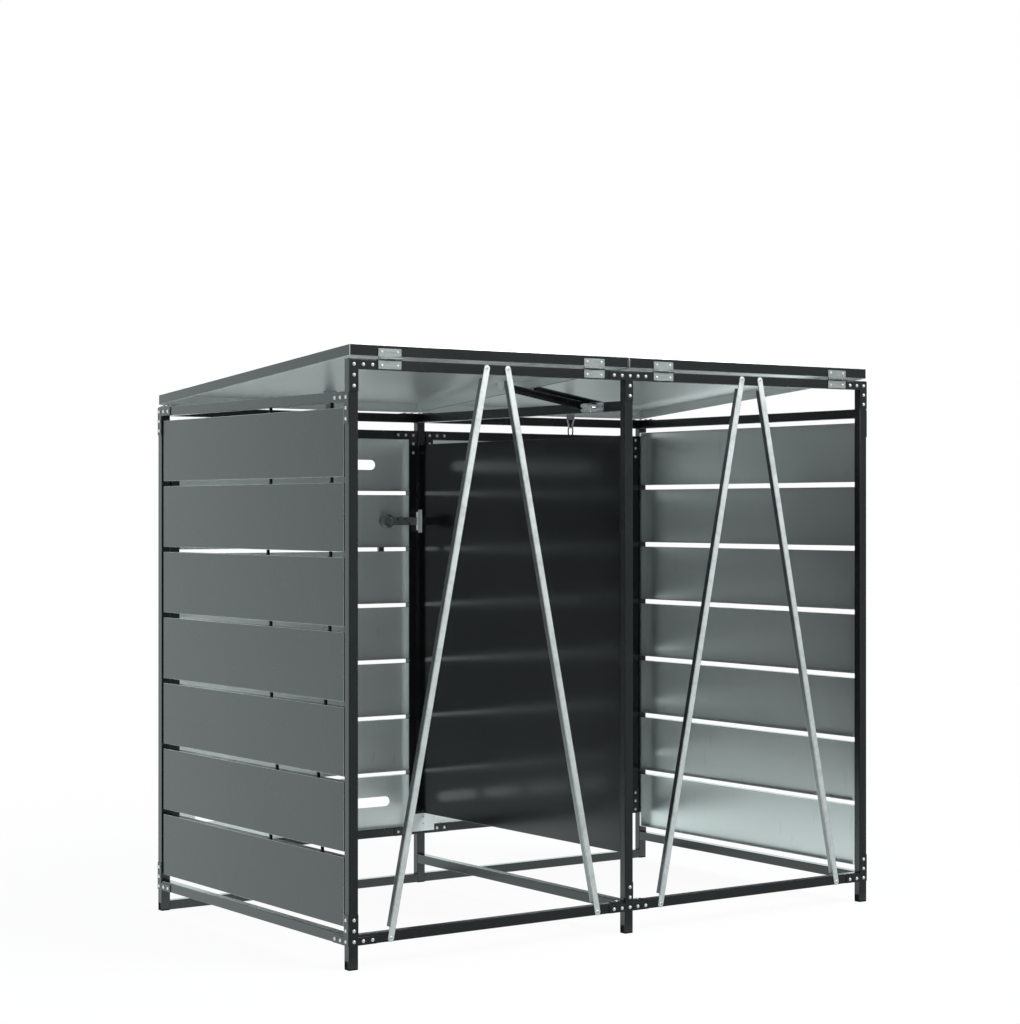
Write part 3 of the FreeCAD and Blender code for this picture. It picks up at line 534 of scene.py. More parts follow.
def ease_weights(bm, width):
    """Gives each corner its share of the easing: less where a surface beside it is narrow."""
    layer = bm.edges.layers.float.new("bevel_weight_edge")
    surface = {}
    area = []
    for number, group in enumerate(islands(bm, lambda edge: not is_corner(edge))):
        surface.update((face, number) for face in group)
        area.append(sum(face.calc_area() for face in group))
    rim = [0.0] * len(area)
    corners = [edge for edge in bm.edges if is_corner(edge)]
    for edge in corners:
        for face in edge.link_faces:
            rim[surface[face]] += edge.calc_length()
    for edge in [edge for edge in corners if edge.is_convex]:
        narrow = min(2 * area[surface[face]] / rim[surface[face]] for face in edge.link_faces)
        edge[layer] = min(1.0, EASE_SHARE * narrow / width)


def settle_rounds(bm, marker):
    """Gives each rounded corner the number of the edge finish that goes with the flats beside it."""
    waiting = [face for face in bm.faces if face.material_index == marker]
    rounds = set(waiting)
    chosen = {}
    while waiting:
        found = {}
        for face in waiting:
            beside = [other for edge in face.edges for other in edge.link_faces if other is not face]
            picks = [other.material_index for other in beside if other not in rounds]
            picks += [chosen[other] for other in beside if other in chosen]
            if picks:
                found[face] = min(picks)
        chosen.update(found)
        waiting = [face for face in waiting if face not in chosen] if found else []
    for face in rounds:
        face.material_index = marker + chosen.get(face, 0)
    return rounds


def eased(mesh, width):
    """The mesh with rounded corners in their own edge finishes."""
    flats = list(mesh.materials)
    marker = len(flats)
    mesh.materials.append(flats[0])
    holder = placed("holder", mesh)
    bevel = holder.modifiers.new("eased_corners", "BEVEL")
    bevel.width = width
    bevel.segments = 2
    bevel.limit_method = "WEIGHT"
    bevel.use_clamp_overlap = False
    bevel.material = marker
    evaluated = holder.evaluated_get(bpy.context.evaluated_depsgraph_get())
    made = bpy.data.meshes.new_from_object(evaluated)
    bpy.data.objects.remove(holder)
    bm = bmesh.new()
    bm.from_mesh(made)
    rounds = settle_rounds(bm, marker)
    for edge in bm.edges:
        kinds = {face in rounds for face in edge.link_faces}
        edge.smooth = len(kinds) == 1 and not is_corner(edge)
    bm.to_mesh(made)
    bm.free()
    made.materials.pop(index=marker)
    for flat in flats:
        made.materials.append(EDGE_OF.get(flat.name, flat))
    return made


def add_piece(name, bm, body, materials, ease=0.0, nodes=(), recalc=True):
    """Makes a piece of the built mesh, with eased corners, that rides on a body and stands for nodes."""
    if recalc:
        bmesh.ops.recalc_face_normals(bm, faces=bm.faces)
    bm.normal_update()
    for edge in bm.edges:
        edge.smooth = not is_corner(edge)
    for face in bm.faces:
        face.smooth = True
    if ease:
        ease_weights(bm, ease)
    mesh = bpy.data.meshes.new(name)
    bm.to_mesh(mesh)
    bm.free()
    for made in materials:
        mesh.materials.append(made)
    if ease:
        mesh = eased(mesh, ease)
    piece = placed(name, mesh)
    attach(piece, body)
    if nodes:
        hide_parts(*nodes)


def split_finish(bm, takes_second):
    """Gives the second finish to the faces whose middle the test picks."""
    for face in bm.faces:
        face.material_index = 1 if takes_second(face.calc_center_median()) else 0


def mirror(bm):
    """Turns the mesh into the one on the other side of the store."""
    bmesh.ops.scale(bm, vec=(-1, 1, 1), verts=bm.verts)
    bmesh.ops.reverse_faces(bm, faces=bm.faces)


def moved(bm, matrix):
    bmesh.ops.transform(bm, matrix=matrix, verts=bm.verts)
    return bm


def merged(*parts):
    """One mesh of several."""
    whole = bmesh.new()
    for bm in parts:
        mesh = bpy.data.meshes.new("part_mesh")
        bm.to_mesh(mesh)
        bm.free()
        whole.from_mesh(mesh)
        bpy.data.meshes.remove(mesh)
    return whole


# Fasteners


def add_dome(bm, at, normal, radius=BOLT_R, height=BOLT_H):
    """A domed bolt head: a thin rim, then a crown with a small flat in its middle."""
    rim = DOME_RIM * height
    profile = [(0, 0), (0, radius), (rim, radius)]
    for i in range(1, DOME_STEPS + 1):
        angle = math.radians(DOME_TURN * i / DOME_STEPS)
        profile.append((rim + (height - rim) * math.sin(angle), DOME_CROWN * radius * math.cos(angle)))
    profile.append((height, 0))
    return add_lathe(bm, at, normal, profile, 20)


def add_low_head(bm, at, normal, sizes):
    """A low round head whose recess takes the second finish, a darker one that paints the shade in the recess."""
    radius, height, recess_r = sizes
    mouth = (height, recess_r * RECESS_MOUTH)
    floor = RECESS_FLOOR * height
    head = [(0, 0), (0, radius), (HEAD_SIDE * height, radius), (height, HEAD_TOP * radius), mouth]
    add_lathe(bm, at, normal, head, 18)
    for face in add_lathe(bm, at, normal, [mouth, (floor, recess_r), (floor, 0)], 18):
        face.material_index = 1


def add_plate(plates, bolts, kind, corner, along, up, normal, half_along, half_up, shift=0.0):
    """An L or T plate on a face, with a bolt at its corner and two along each arm."""
    end = 2 * BOLT_PITCH + PLATE_END
    outline = [(end, -half_along), (end, half_along), (half_up, half_along), (half_up, end), (-half_up, end)]
    steps = [(0, 0), (1, 0), (2, 0), (0, 1), (0, 2)]
    if kind == "T":
        outline += [(-half_up, half_along), (-end, half_along), (-end, -half_along)]
        steps += [(-1, 0), (-2, 0)]
    else:
        outline += [(-half_up, -half_along)]
    add_prism(plates, [corner + along * a + up * b for a, b in outline], normal * PLATE_T)
    for a, b in steps:
        step = along * (a * BOLT_PITCH + shift) + up * (b * BOLT_PITCH)
        add_dome(bolts, corner + step + normal * PLATE_T, normal)


# The frame's places, read from the CAD


def low(node):
    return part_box(node)[0]


def high(node):
    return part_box(node)[1]


HALF_W = high("post_rear_right").x
POST_X = HALF_W - POST_W / 2
BAY_MID = (POST_W / 2 + HALF_W - POST_W) / 2
REAR_Y = high("post_rear_right").y
FRONT_Y = low("post_front_right").y
REAR_TOP = high("post_rear_right").z
FRONT_TOP = high("post_front_right").z
BOTTOM_RAIL_Z = low("rails_rear_bottom").z


def add_for(node, ending, bm, body, materials, ease=0.0, recalc=True):
    """Makes a piece that stands for one CAD node and is named after it."""
    add_piece(node + ending, bm, body, materials, ease, [node], recalc)


def add_copy(node, ending, body, materials, ease):
    """The CAD node's own shape, with eased corners."""
    add_for(node, ending, copied(node), body, materials, ease, recalc=False)


def build_tubes():
    """Posts, rails, feet and keepers."""
    for node in SLOT_OF:
        if node.startswith(("post_", "rail", "sills_")):
            add_copy(node, "_tube", "frame", [COAT], ease=1.1 * MM)
    add_copy("foot_glides", "_set", "frame", [PLASTIC], ease=0.8 * MM)
    # The keepers' near white is partly painted light.
    add_copy("lock_keepers", "_pair", "frame", [KEEPER_ZINC_PAINTED_LIGHT], ease=0.5 * MM)


def build_divider():
    """The gloss tray, whose front end has the frame's matt coat."""
    bm = copied("divider_panel")
    matt_y = low("divider_panel").y + DIVIDER_MATT
    whole = bm.verts[:] + bm.edges[:] + bm.faces[:]
    bmesh.ops.bisect_plane(bm, geom=whole, dist=WELD, plane_co=(0, matt_y, 0), plane_no=Y_DIR)
    split_finish(bm, lambda middle: middle.y < matt_y)
    add_piece("divider_tray", bm, "frame", [GLOSS, COAT], ease=1.2 * MM,
              nodes=["divider_panel"], recalc=False)


def build_door_stop():
    """The zinc plate on its coated spacer, with two screws."""
    bm = copied("door_stop")
    top = high("door_stop")
    split_finish(bm, lambda middle: middle.y < top.y - STOP_ZINC)
    add_for("door_stop", "_plate", bm, "frame", [PALE_ZINC, COAT], ease=0.7 * MM, recalc=False)
    screws = bmesh.new()
    for drop in STOP_SCREW_DROPS:
        add_low_head(screws, Vector((0, top.y, top.z - drop)), Y_DIR, STOP_SCREW)
    # The recesses' darker finish is painted shade.
    add_piece("door_stop_screws", screws, "frame", [PALE_ZINC, SOCKET_PAINTED_SHADE])


def add_angle(plates, bolts, side):
    """The small angle on the rear bottom rail beside the centre post, with its bolt."""
    rise = BOTTOM_RAIL_Z + RAIL_H
    y_mid = REAR_Y - POST_D / 2
    outline = [(0, 0), (ANGLE_L, 0), (ANGLE_L, PLATE_T), (PLATE_T, PLATE_T), (PLATE_T, ANGLE_RISE),
               (0, ANGLE_RISE)]
    points = [Vector((side * (POST_W / 2 + x), y_mid - ANGLE_W / 2, rise + z)) for x, z in outline]
    add_prism(plates, points, Y_DIR * ANGLE_W)
    add_dome(bolts, Vector((side * (POST_W / 2 + ANGLE_BOLT), y_mid, rise + PLATE_T)), Z_DIR)


def build_plates():
    """The joining plates on the frame's back, its sides and the tops of its front corners, with bolts."""
    plates = bmesh.new()
    bolts = bmesh.new()
    low_half = RAIL_H / 2 - PLATE_DROP_LOW
    high_half = RAIL_H / 2 - PLATE_DROP_HIGH
    low_z = BOTTOM_RAIL_Z + low_half
    for z, up, half in ((low_z, Z_DIR, low_half), (REAR_TOP - RAIL_H + high_half, -Z_DIR, high_half)):
        corner = Vector((0, REAR_Y, z))
        add_plate(plates, bolts, "T", corner, X_DIR, up, Y_DIR, half, POST_W / 2, CENTRE_BOLT_SHIFT)
        for side in SIDES.values():
            corner = Vector((side * POST_X, REAR_Y, z))
            add_plate(plates, bolts, "L", corner, X_DIR * -side, up, Y_DIR, half, POST_W / 2)
    for z, up, half in ((low_z, Z_DIR, low_half), (FRONT_TOP - RAIL_H + high_half, -Z_DIR, high_half)):
        for side in SIDES.values():
            for y, along in ((REAR_Y - POST_D / 2, -Y_DIR), (FRONT_Y + POST_D / 2, Y_DIR)):
                corner = Vector((side * HALF_W, y, z))
                add_plate(plates, bolts, "L", corner, along, up, X_DIR * side, half, POST_D / 2)
    arms = (TOP_PLATE_HALF, TOP_PLATE_HALF)
    y = FRONT_Y + POST_D / 2
    add_plate(plates, bolts, "T", Vector((0, y, FRONT_TOP)), X_DIR, Y_DIR, Z_DIR, *arms)
    for side in SIDES.values():
        corner = Vector((side * POST_X, y, FRONT_TOP))
        add_plate(plates, bolts, "L", corner, X_DIR * -side, Y_DIR, Z_DIR, *arms)
        add_angle(plates, bolts, side)
    add_for("joining_plates", "_set", plates, "frame", [COAT], ease=0.5 * MM)
    add_piece("frame_bolts", bolts, "frame", [BRIGHT])


def build_braces():
    """Each brace is a flat with round ends, a leg along its +X edge in a darker copy of the galvanised finish that
    paints the shade on it, and a low bolt at both ends.
    """
    bolts = bmesh.new()
    low_z = BOTTOM_RAIL_Z + RAIL_H / 2 - BRACE_LOW_DROP
    top_z = REAR_TOP - RAIL_H / 2 + BRACE_TOP_RISE
    half = BRACE_W / 2
    for word, side in SIDES.items():
        for place, outward in (("outer", 1), ("inner", -1)):
            foot = Vector((side * (BAY_MID + outward * BRACE_LOW_SPREAD), REAR_Y, low_z))
            head = Vector((side * (BAY_MID + outward * BRACE_TOP_SPREAD), REAR_Y, top_z))
            run = (head - foot).normalized()
            across = Vector((run.z, 0, -run.x))
            bm = bmesh.new()
            outline = arc_points(head, half, 180, 0, across, run, 20)
            outline += arc_points(foot, half, 0, -180, across, run, 20)
            add_prism(bm, outline, Y_DIR * BRACE_T)
            leg_foot = foot + run * BRACE_TAB + Y_DIR * BRACE_T
            leg_head = head - run * BRACE_TAB + Y_DIR * BRACE_T
            ends = [leg_foot + across * half, leg_head + across * half]
            ends += [leg_head + across * (half - BRACE_T), leg_foot + across * (half - BRACE_T)]
            # The leg takes the darker galvanised copy: painted shade.
            for face in add_prism(bm, ends, Y_DIR * -BRACE_LEG):
                face.material_index = 1
            add_for("brace_%s_%s" % (word, place), "_angle", bm, "frame", [ZINC, SHADED_LEG_ZINC], ease=0.6 * MM)
            for at in (foot, head):
                add_low_head(bolts, at + Y_DIR * BRACE_T, Y_DIR, BRACE_BOLT)
    # The recesses' darker finish is painted shade.
    add_piece("brace_bolts", bolts, "frame", [ZINC, CUP_PAINTED_SHADE])


# Folded sheet: slats and lids


def tray_middles(bm):
    """For each face, the middle of the tray that it belongs to."""
    middles = {}
    for group in islands(bm):
        points = [vert.co for face in group for vert in face.verts]
        middle = Vector([(min(places) + max(places)) / 2 for places in zip(*points)])
        middles.update((face, middle) for face in group)
    return middles


def coat_sheet(bm, outward):
    """Anthracite outside and pale back coat inside each tray, whose plain face looks outward."""
    middles = tray_middles(bm)
    for face in bm.faces:
        turn = face.normal.dot(outward)
        if abs(turn) > 0.5:
            inside = turn < 0
        else:
            inside = face.normal.dot(face.calc_center_median() - middles[face]) < 0
        face.material_index = 1 if inside else 0


def build_sheets():
    """Side slats, door slats and lids."""
    for word, side in SIDES.items():
        for node, outward, body, ease, back in (
                ("side_slats_" + word, X_DIR * side, "frame", 0.4 * MM, BACK_COAT),
                # Doors and lids take the lighter copy of the back coat: painted light.
                ("door_slats_" + word, -Y_DIR, "door_" + word, 0.5 * MM, PANEL_BACK_PAINTED_LIGHT),
                ("lid_panel_" + word, Z_DIR, "lid_" + word, 0.8 * MM, PANEL_BACK_PAINTED_LIGHT)):
            bm = copied(node)
            coat_sheet(bm, outward)
            add_for(node, "_sheet", bm, body, [COAT, back], ease, recalc=False)


def slat_places():
    """Where the right side's slats start and end in X and, slat by slat from the bottom, in Z."""
    slats_low, slats_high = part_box("side_slats_right")
    pitch = (slats_high.z - slats_low.z + SLAT_GAP) / SLAT_COUNT
    starts = [slats_low.z + i * pitch for i in range(SLAT_COUNT)]
    return slats_low.x, slats_high.x, [(z, z + pitch - SLAT_GAP) for z in starts]


def build_rivets():
    """Two low rivets in each end flange of the side slats, on the flange's inner side."""
    start_x, _, slats = slat_places()
    bm = bmesh.new()
    inner_x = start_x + RIVET_IN
    flange = POST_D + SLAT_GROOVE + SHEET_T
    for side in SIDES.values():
        for z0, z1 in slats:
            for z in (z0 + RIVET_END, z1 - RIVET_END):
                for y, out in ((FRONT_Y + flange, Y_DIR), (REAR_Y - flange, -Y_DIR)):
                    add_dome(bm, Vector((side * inner_x, y, z)), out, RIVET_R, RIVET_H)
    add_piece("slat_rivets", bm, "frame", [BACK_COAT])


def build_spacers():
    """Black clips, set by hand, in the gaps above each of the right side's slats."""
    _, end_x, slats = slat_places()
    tops = [z0 for z0, _ in slats[1:]] + [low("rails_side_top").z]
    gaps = [(z1, top) for (_, z1), top in zip(slats, tops)]
    bm = bmesh.new()
    lip = SPACER_LIP
    inner_x = end_x - SHEET_T - SPACER_D
    for row, row_y in enumerate(SPACER_YS):
        for (z0, z1), slips in zip(gaps, SPACER_SLIPS):
            y = row_y + slips[row] * MM
            outline = [(y, z0), (y + SPACER_L, z0), (y + SPACER_L, z1), (y + lip, z1), (y + lip, z0 + lip),
                       (y, z0 + lip)]
            add_prism(bm, [Vector((inner_x, *place)) for place in outline], X_DIR * SPACER_D)
    add_piece("slat_spacers", bm, "frame", [PLASTIC], ease=0.5 * MM)


# Hinges


def hinge_leaf(turning):
    """One leaf along X on the plane y = 0, its pin at y = KNUCKLE_R, z = 0, with round knuckles."""
    bm = bmesh.new()
    half = HINGE_L / 2
    inner = half - KNUCKLE_END
    middle = inner - KNUCKLE_GAP
    room = KNUCKLE_R + KNUCKLE_GAP
    up = 1 if turning else -1
    round_x = half - HINGE_CORNER_R
    round_z = up * (HINGE_LEAF - HINGE_CORNER_R)
    outline = arc_points(Vector((-round_x, 0, round_z)), HINGE_CORNER_R, 180, 90, X_DIR, Z_DIR * up, 4)
    outline += arc_points(Vector((round_x, 0, round_z)), HINGE_CORNER_R, 90, 0, X_DIR, Z_DIR * up, 4)
    if turning:
        rest = [(half, room), (middle, room), (middle, 0), (-middle, 0), (-middle, room), (-half, room)]
        knuckles = [(-middle, middle)]
    else:
        rest = [(half, 0), (inner, 0), (inner, room), (-inner, room), (-inner, 0), (-half, 0)]
        knuckles = [(-half, -inner), (inner, half)]
    outline += [Vector((x, 0, up * z)) for x, z in rest]
    add_prism(bm, outline, Y_DIR * HINGE_T)
    pin_at = Vector((0, KNUCKLE_R, 0))
    edge_r = KNUCKLE_R - KNUCKLE_EDGE
    for x0, x1 in knuckles:
        profile = [(x0, PIN_HOLE_R), (x0, edge_r), (x0 + KNUCKLE_EDGE, KNUCKLE_R)]
        profile += [(x1 - KNUCKLE_EDGE, KNUCKLE_R), (x1, edge_r), (x1, PIN_HOLE_R)]
        # The knuckles take the darker zinc copy: painted shade.
        for face in add_lathe(bm, pin_at, X_DIR, profile, 24, closed=True):
            face.material_index = 2
    if not turning:
        pin_end = half - KNUCKLE_EDGE
        add_lathe(bm, pin_at, X_DIR, [(-pin_end, 0), (-pin_end, PIN_R), (pin_end, PIN_R), (pin_end, 0)], 20)
    for x in (HINGE_SCREW_IN - half, half - HINGE_SCREW_IN):
        at = Vector((x, HINGE_T, up * (HINGE_LEAF * HINGE_SCREW_SHARE)))
        for face in add_dome(bm, at, Y_DIR, SCREW_R, SCREW_H):
            face.material_index = 1
    return bm


def build_hinges():
    """Two hinges on each lid and each door; the right side's are mirrored for the left."""
    lid_z = JOINTS["lid_right_hinge"]["pos_m"][2]
    door_x = JOINTS["door_right_hinge"]["pos_m"][0]
    xs = (low("lid_panel_right").x + LID_HINGE_INSET, high("lid_panel_right").x - LID_HINGE_INSET)
    zs = (low("door_frame_right").z + DOOR_HINGE_INSET, high("door_frame_right").z - DOOR_HINGE_INSET)
    onto_door = Matrix.Rotation(math.radians(-90), 4, "Y") @ Matrix.Rotation(math.radians(180), 4, "Z")
    lid_places = [Matrix.Translation((x, REAR_Y, lid_z)) for x in xs]
    door_places = [Matrix.Translation((door_x, FRONT_Y, z)) @ onto_door for z in zs]
    # The third finish, for the knuckles, is painted shade.
    metals = [HINGE_ZINC, BRIGHT, SHADED_KNUCKLE_ZINC]
    for word in SIDES:
        for turning, places, name, body, nodes in (
                (True, lid_places, "lid_hinge_turning_" + word, "lid_" + word, ["lid_hinge_leaves_" + word]),
                (False, lid_places, "lid_hinge_fixed_" + word, "frame", ["lid_hinge_bases"]),
                (True, door_places, "door_hinge_turning_" + word, "door_" + word, []),
                (False, door_places, "door_hinge_fixed_" + word, "frame", ["door_hinge_bases"])):
            bm = merged(*[moved(hinge_leaf(turning), place) for place in places])
            if word == "left":
                mirror(bm)
            add_piece(name, bm, body, metals, 0.35 * MM, nodes)


# Gas struts and their seats


def add_eye(bm, at, across, radius, length, bore):
    """A round eye across the strut, with eased ends, bored for its stud."""
    half = length / 2
    profile = [(-half, bore), (-half, radius - EYE_EDGE), (-half + EYE_EDGE, radius)]
    profile += [(half - EYE_EDGE, radius), (half, radius - EYE_EDGE), (half, bore)]
    return add_lathe(bm, at, across, profile, 28, closed=True)


def build_struts():
    """Each strut: a painted cylinder on a bright neck and eye, and a bright rod with its nut and eye."""
    mouth = STRUT_LENGTH - STRUT_ROD_SHOWN - STRUT_EYE_R
    tube = profile_at(STRUT_TUBE_START, STRUT_TUBE_FOOT) + profile_at(mouth, STRUT_TUBE_MOUTH)
    tube += profile_at(STRUT_TUBE_START, STRUT_TUBE_BORE)
    rod = rod_profile(STRUT_ROD_START, STRUT_LENGTH - STRUT_ROD_STOP, STRUT_ROD_R, STRUT_ROD_EDGE)
    for word in SIDES:
        foot = Vector(JOINTS["strut_%s_swing" % word]["pos_m"])
        run = Vector(JOINTS["strut_%s_slide" % word]["axis"]).normalized()
        bm = bmesh.new()
        add_lathe(bm, foot, run, tube, 40)
        fitting = add_lathe(bm, foot, run, profile_at(0, STRUT_NECK), 24)
        fitting += add_eye(bm, foot, X_DIR, STRUT_EYE_R, STRUT_EYE_T, STUD_R + STUD_SLACK)
        for face in fitting:
            face.material_index = 1
        add_for("strut_cylinder_" + word, "_tube", bm, "strut_tube_" + word, [STRUT_PAINT, CHROME])
        bm = bmesh.new()
        add_lathe(bm, foot, run, rod, 28)
        add_lathe(bm, foot, run, profile_at(STRUT_LENGTH, STRUT_NUT), 24)
        add_eye(bm, foot + run * STRUT_LENGTH, X_DIR, STRUT_EYE_R, STRUT_EYE_T, STUD_R)
        add_for("strut_rod_" + word, "_end", bm, "strut_rod_" + word, [CHROME])


def build_seats():
    """The struts' plates on the centre rail, and the struts' and catches' seats on the lids."""
    add_copy("strut_brackets", "_pair", "frame", [CHROME], ease=0.5 * MM)
    bolts = bmesh.new()
    rail_mid = FRONT_TOP - RAIL_H / 2
    for word, side in SIDES.items():
        foot = Vector(JOINTS["strut_%s_swing" % word]["pos_m"])
        x = side * (POST_W / 2 + STRUT_PLATE_T)
        out = X_DIR * side
        for back in STRUT_BOLT_BACKS:
            add_dome(bolts, Vector((x, foot.y - back, rail_mid)), out, STRUT_BOLT_R, STRUT_BOLT_H)
        tip = side * (abs(foot.x) + STRUT_EYE_T / 2)
        add_lathe(bolts, Vector((tip, foot.y, foot.z)), out, profile_at(0, STUD_CAP), 24)
        node = "lid_brackets_" + word
        seats = copied(node)
        middle_y = (low(node).y + high(node).y) / 2
        split_finish(seats, lambda middle: middle.y > middle_y)
        # The seats' bright half takes the near-white zinc, partly painted light.
        metals = [LILAC_ZINC, KEEPER_ZINC_PAINTED_LIGHT]
        add_for(node, "_seats", seats, "lid_" + word, metals, ease=0.4 * MM, recalc=False)
    add_piece("strut_plate_bolts", bolts, "frame", [BRIGHT])


# Lid catches


def add_v(bm, pivot, y0, strap_low):
    """The catch's two legs that meet in a round bend below its strap."""
    bend = Vector((pivot.x, y0, strap_low - CATCH_V_L + CATCH_BEND_R))
    rise = strap_low - bend.z
    loops = []
    for trim in (0, CATCH_LEG):
        radius = CATCH_BEND_R + CATCH_LEG - trim
        top_half = CATCH_W / 2 - trim
        turn = math.degrees(math.atan2(rise, top_half) - math.acos(radius / math.hypot(top_half, rise)))
        left_top, right_top = [Vector((pivot.x + s * top_half, y0, strap_low)) for s in (-1, 1)]
        curve = arc_points(bend, radius, turn, -180 - turn, X_DIR, Z_DIR, 20)
        loops.append([right_top] + curve + [left_top])
    outer, inner = loops
    for i in range(len(outer) - 1):
        add_prism(bm, [outer[i], outer[i + 1], inner[i + 1], inner[i]], Y_DIR * CATCH_T)
    bmesh.ops.remove_doubles(bm, verts=bm.verts, dist=WELD)
    walls = [face for face in bm.faces if all(len(edge.link_faces) > 2 for edge in face.edges)]
    bmesh.ops.delete(bm, geom=walls, context="FACES_ONLY")


def add_ring(bm, centre):
    """A long wire ring in the YZ plane."""
    lift = Z_DIR * (RING_STRAIGHT / 2)
    middle = RING_HALF_W - RING_T / 2
    rings = []
    for hub, start in ((centre + lift, 0), (centre - lift, 180)):
        for point in arc_points(hub, middle, start, start + 180, Y_DIR, Z_DIR, 20):
            away = (point - hub).normalized()
            circle = arc_points(point, RING_T / 2, 0, 360, away, X_DIR, RING_SIDES)[:-1]
            rings.append([bm.verts.new(p) for p in circle])
    for a, b in zip(rings, rings[1:] + rings[:1]):
        for i in range(RING_SIDES):
            j = (i + 1) % RING_SIDES
            bm.faces.new((a[i], a[j], b[j], b[i]))


def build_catches():
    """Each lid's hanging strap, which ends in a V, and the ring in it."""
    half = CATCH_W / 2
    for word in SIDES:
        pivot = Vector(JOINTS["catch_%s_swing" % word]["pos_m"])
        y0 = pivot.y - CATCH_T / 2
        strap_low = pivot.z - CATCH_STRAP_L
        bm = bmesh.new()
        add_eye(bm, pivot, X_DIR, CATCH_EYE_R, CATCH_W, CATCH_EYE_BORE)
        corners = ((-half, 0), (half, 0), (half, CATCH_T), (-half, CATCH_T))
        outline = [Vector((pivot.x + x, y0 + y, strap_low)) for x, y in corners]
        add_prism(bm, outline, Z_DIR * (CATCH_STRAP_L - CATCH_STRAP_TOP))
        add_v(bm, pivot, y0, strap_low)
        split_finish(bm, lambda middle: middle.z <= strap_low + CATCH_LILAC_END)
        add_for("catch_link_" + word, "_strap", bm, "catch_" + word, [LILAC_ZINC, ZINC])
        node = "catch_ring_" + word
        bm = bmesh.new()
        add_ring(bm, (low(node) + high(node)) / 2)
        add_for(node, "_wire", bm, "ring_" + word, [RING_BLACK])


# Doors and locks


def build_doors():
    """Each door's tube frame and its joining plates, with their bolts."""
    for word in SIDES:
        body = "door_" + word
        door_low, door_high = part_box("door_frame_" + word)
        bm = bmesh.new()
        for x0 in (door_low.x, door_high.x - POST_W):
            add_tube(bm, (x0, door_low.y, door_low.z), (x0 + POST_W, door_high.y, door_high.z), 2)
        for z0 in (door_low.z, door_high.z - RAIL_H):
            start = (door_low.x + POST_W, door_low.y, z0)
            add_tube(bm, start, (door_high.x - POST_W, door_high.y, z0 + RAIL_H), 0)
        add_for("door_frame_" + word, "_tubes", bm, body, [COAT], ease=1.1 * MM)
        plates = bmesh.new()
        bolts = bmesh.new()
        for x, along in ((door_low.x + POST_W / 2, X_DIR), (door_high.x - POST_W / 2, -X_DIR)):
            for z, up in ((door_low.z + RAIL_H / 2, Z_DIR), (door_high.z - RAIL_H / 2, -Z_DIR)):
                corner = Vector((x, door_high.y, z))
                add_plate(plates, bolts, "L", corner, along, up, Y_DIR, RAIL_H / 2, POST_W / 2)
        add_for("door_plates_" + word, "_set", plates, body, [COAT], ease=0.5 * MM)
        add_piece("door_bolts_" + word, bolts, body, [BRIGHT])


def add_tongue(bm, side, at, axis_at):
    """The cranked flat that reaches behind the post, its round boss, and the knob on it."""
    root = FRONT_Y + CAM_START
    tongue = FRONT_Y + POST_D + TONGUE_PAST_POST
    tip_x = POST_W / 2 + TONGUE_TIP
    lock_x = abs(at.x)
    crank = lock_x - CRANK_AT
    bends = [(lock_x, root), (crank, root), (crank - CRANK_RUN, tongue), (tip_x, tongue)]
    crank += CRANK_SHIFT
    bends += [(tip_x, tongue + CAM_T), (crank - CRANK_RUN, tongue + CAM_T), (crank, root + CAM_T),
              (lock_x, root + CAM_T)]
    add_prism(bm, [Vector((side * x, y, at.z - CAM_H / 2)) for x, y in bends], Z_DIR * CAM_H)
    boss = rod_profile(CAM_START, CAM_START + CAM_T, CAM_H / 2, CAM_EDGE)
    add_lathe(bm, axis_at, Y_DIR, boss, 28)
    add_lathe(bm, axis_at, Y_DIR, profile_at(CAM_START + CAM_T, LOCK_KNOB), 40)


def build_locks():
    """Each lock's case, its outside lever on a spindle, and its tongue with the inside knob."""
    for word, side in SIDES.items():
        at = Vector(JOINTS["lock_%s_turn" % word]["pos_m"])
        axis_at = Vector((at.x, FRONT_Y, at.z))
        body = "lock_" + word
        case = bmesh.new()
        add_lathe(case, axis_at, Y_DIR, profile_at(0, LOCK_CASE), 40, closed=True)
        fittings = ["door_fittings_" + word]
        add_piece("lock_case_" + word, case, "door_" + word, [LOCK_GREY], nodes=fittings)
        node = "lock_handle_" + word
        front = low(node).y - FRONT_Y
        bm = bmesh.new()
        add_lathe(bm, axis_at, Y_DIR, profile_at(front, LOCK_HUB_FRONT) + profile_at(0, LOCK_HUB_BACK), 32)
        spindle = rod_profile(SPINDLE_START, CAM_START + CAM_T, SPINDLE_R, SPINDLE_EDGE)
        add_lathe(bm, axis_at, Y_DIR, spindle, 28)
        half = LEVER_W / 2
        top = axis_at + Y_DIR * (front + LEVER_INSET)
        outline = arc_points(top - Z_DIR * (LEVER_L - HUB_R - half), half, 180, 360, X_DIR, Z_DIR, 16)
        outline += arc_points(top, half, 0, 180, X_DIR, Z_DIR, 16)
        add_prism(bm, outline, Y_DIR * (LEVER_T - 2 * LEVER_INSET))
        add_for(node, "_lever", bm, body, [LOCK_GREY], ease=1.3 * MM)
        bm = bmesh.new()
        add_tongue(bm, side, at, axis_at)
        add_for("lock_cam_" + word, "_tongue", bm, body, [LOCK_GREY], ease=0.4 * MM)


build_tubes()
build_divider()
build_door_stop()
build_plates()
build_braces()
build_sheets()
build_rivets()
build_spacers()
build_hinges()
build_struts()
build_seats()
build_catches()
build_doors()
build_locks()


# Stage: floor, world and lamps


def any_ray(tree, names):
    """1 for rays of any of these kinds, else 0."""
    path = tree.nodes.new("ShaderNodeLightPath")
    total = path.outputs[names[0]]
    for name in names[1:]:
        total = calculated(tree, "MAXIMUM", total, path.outputs[name])
    return total


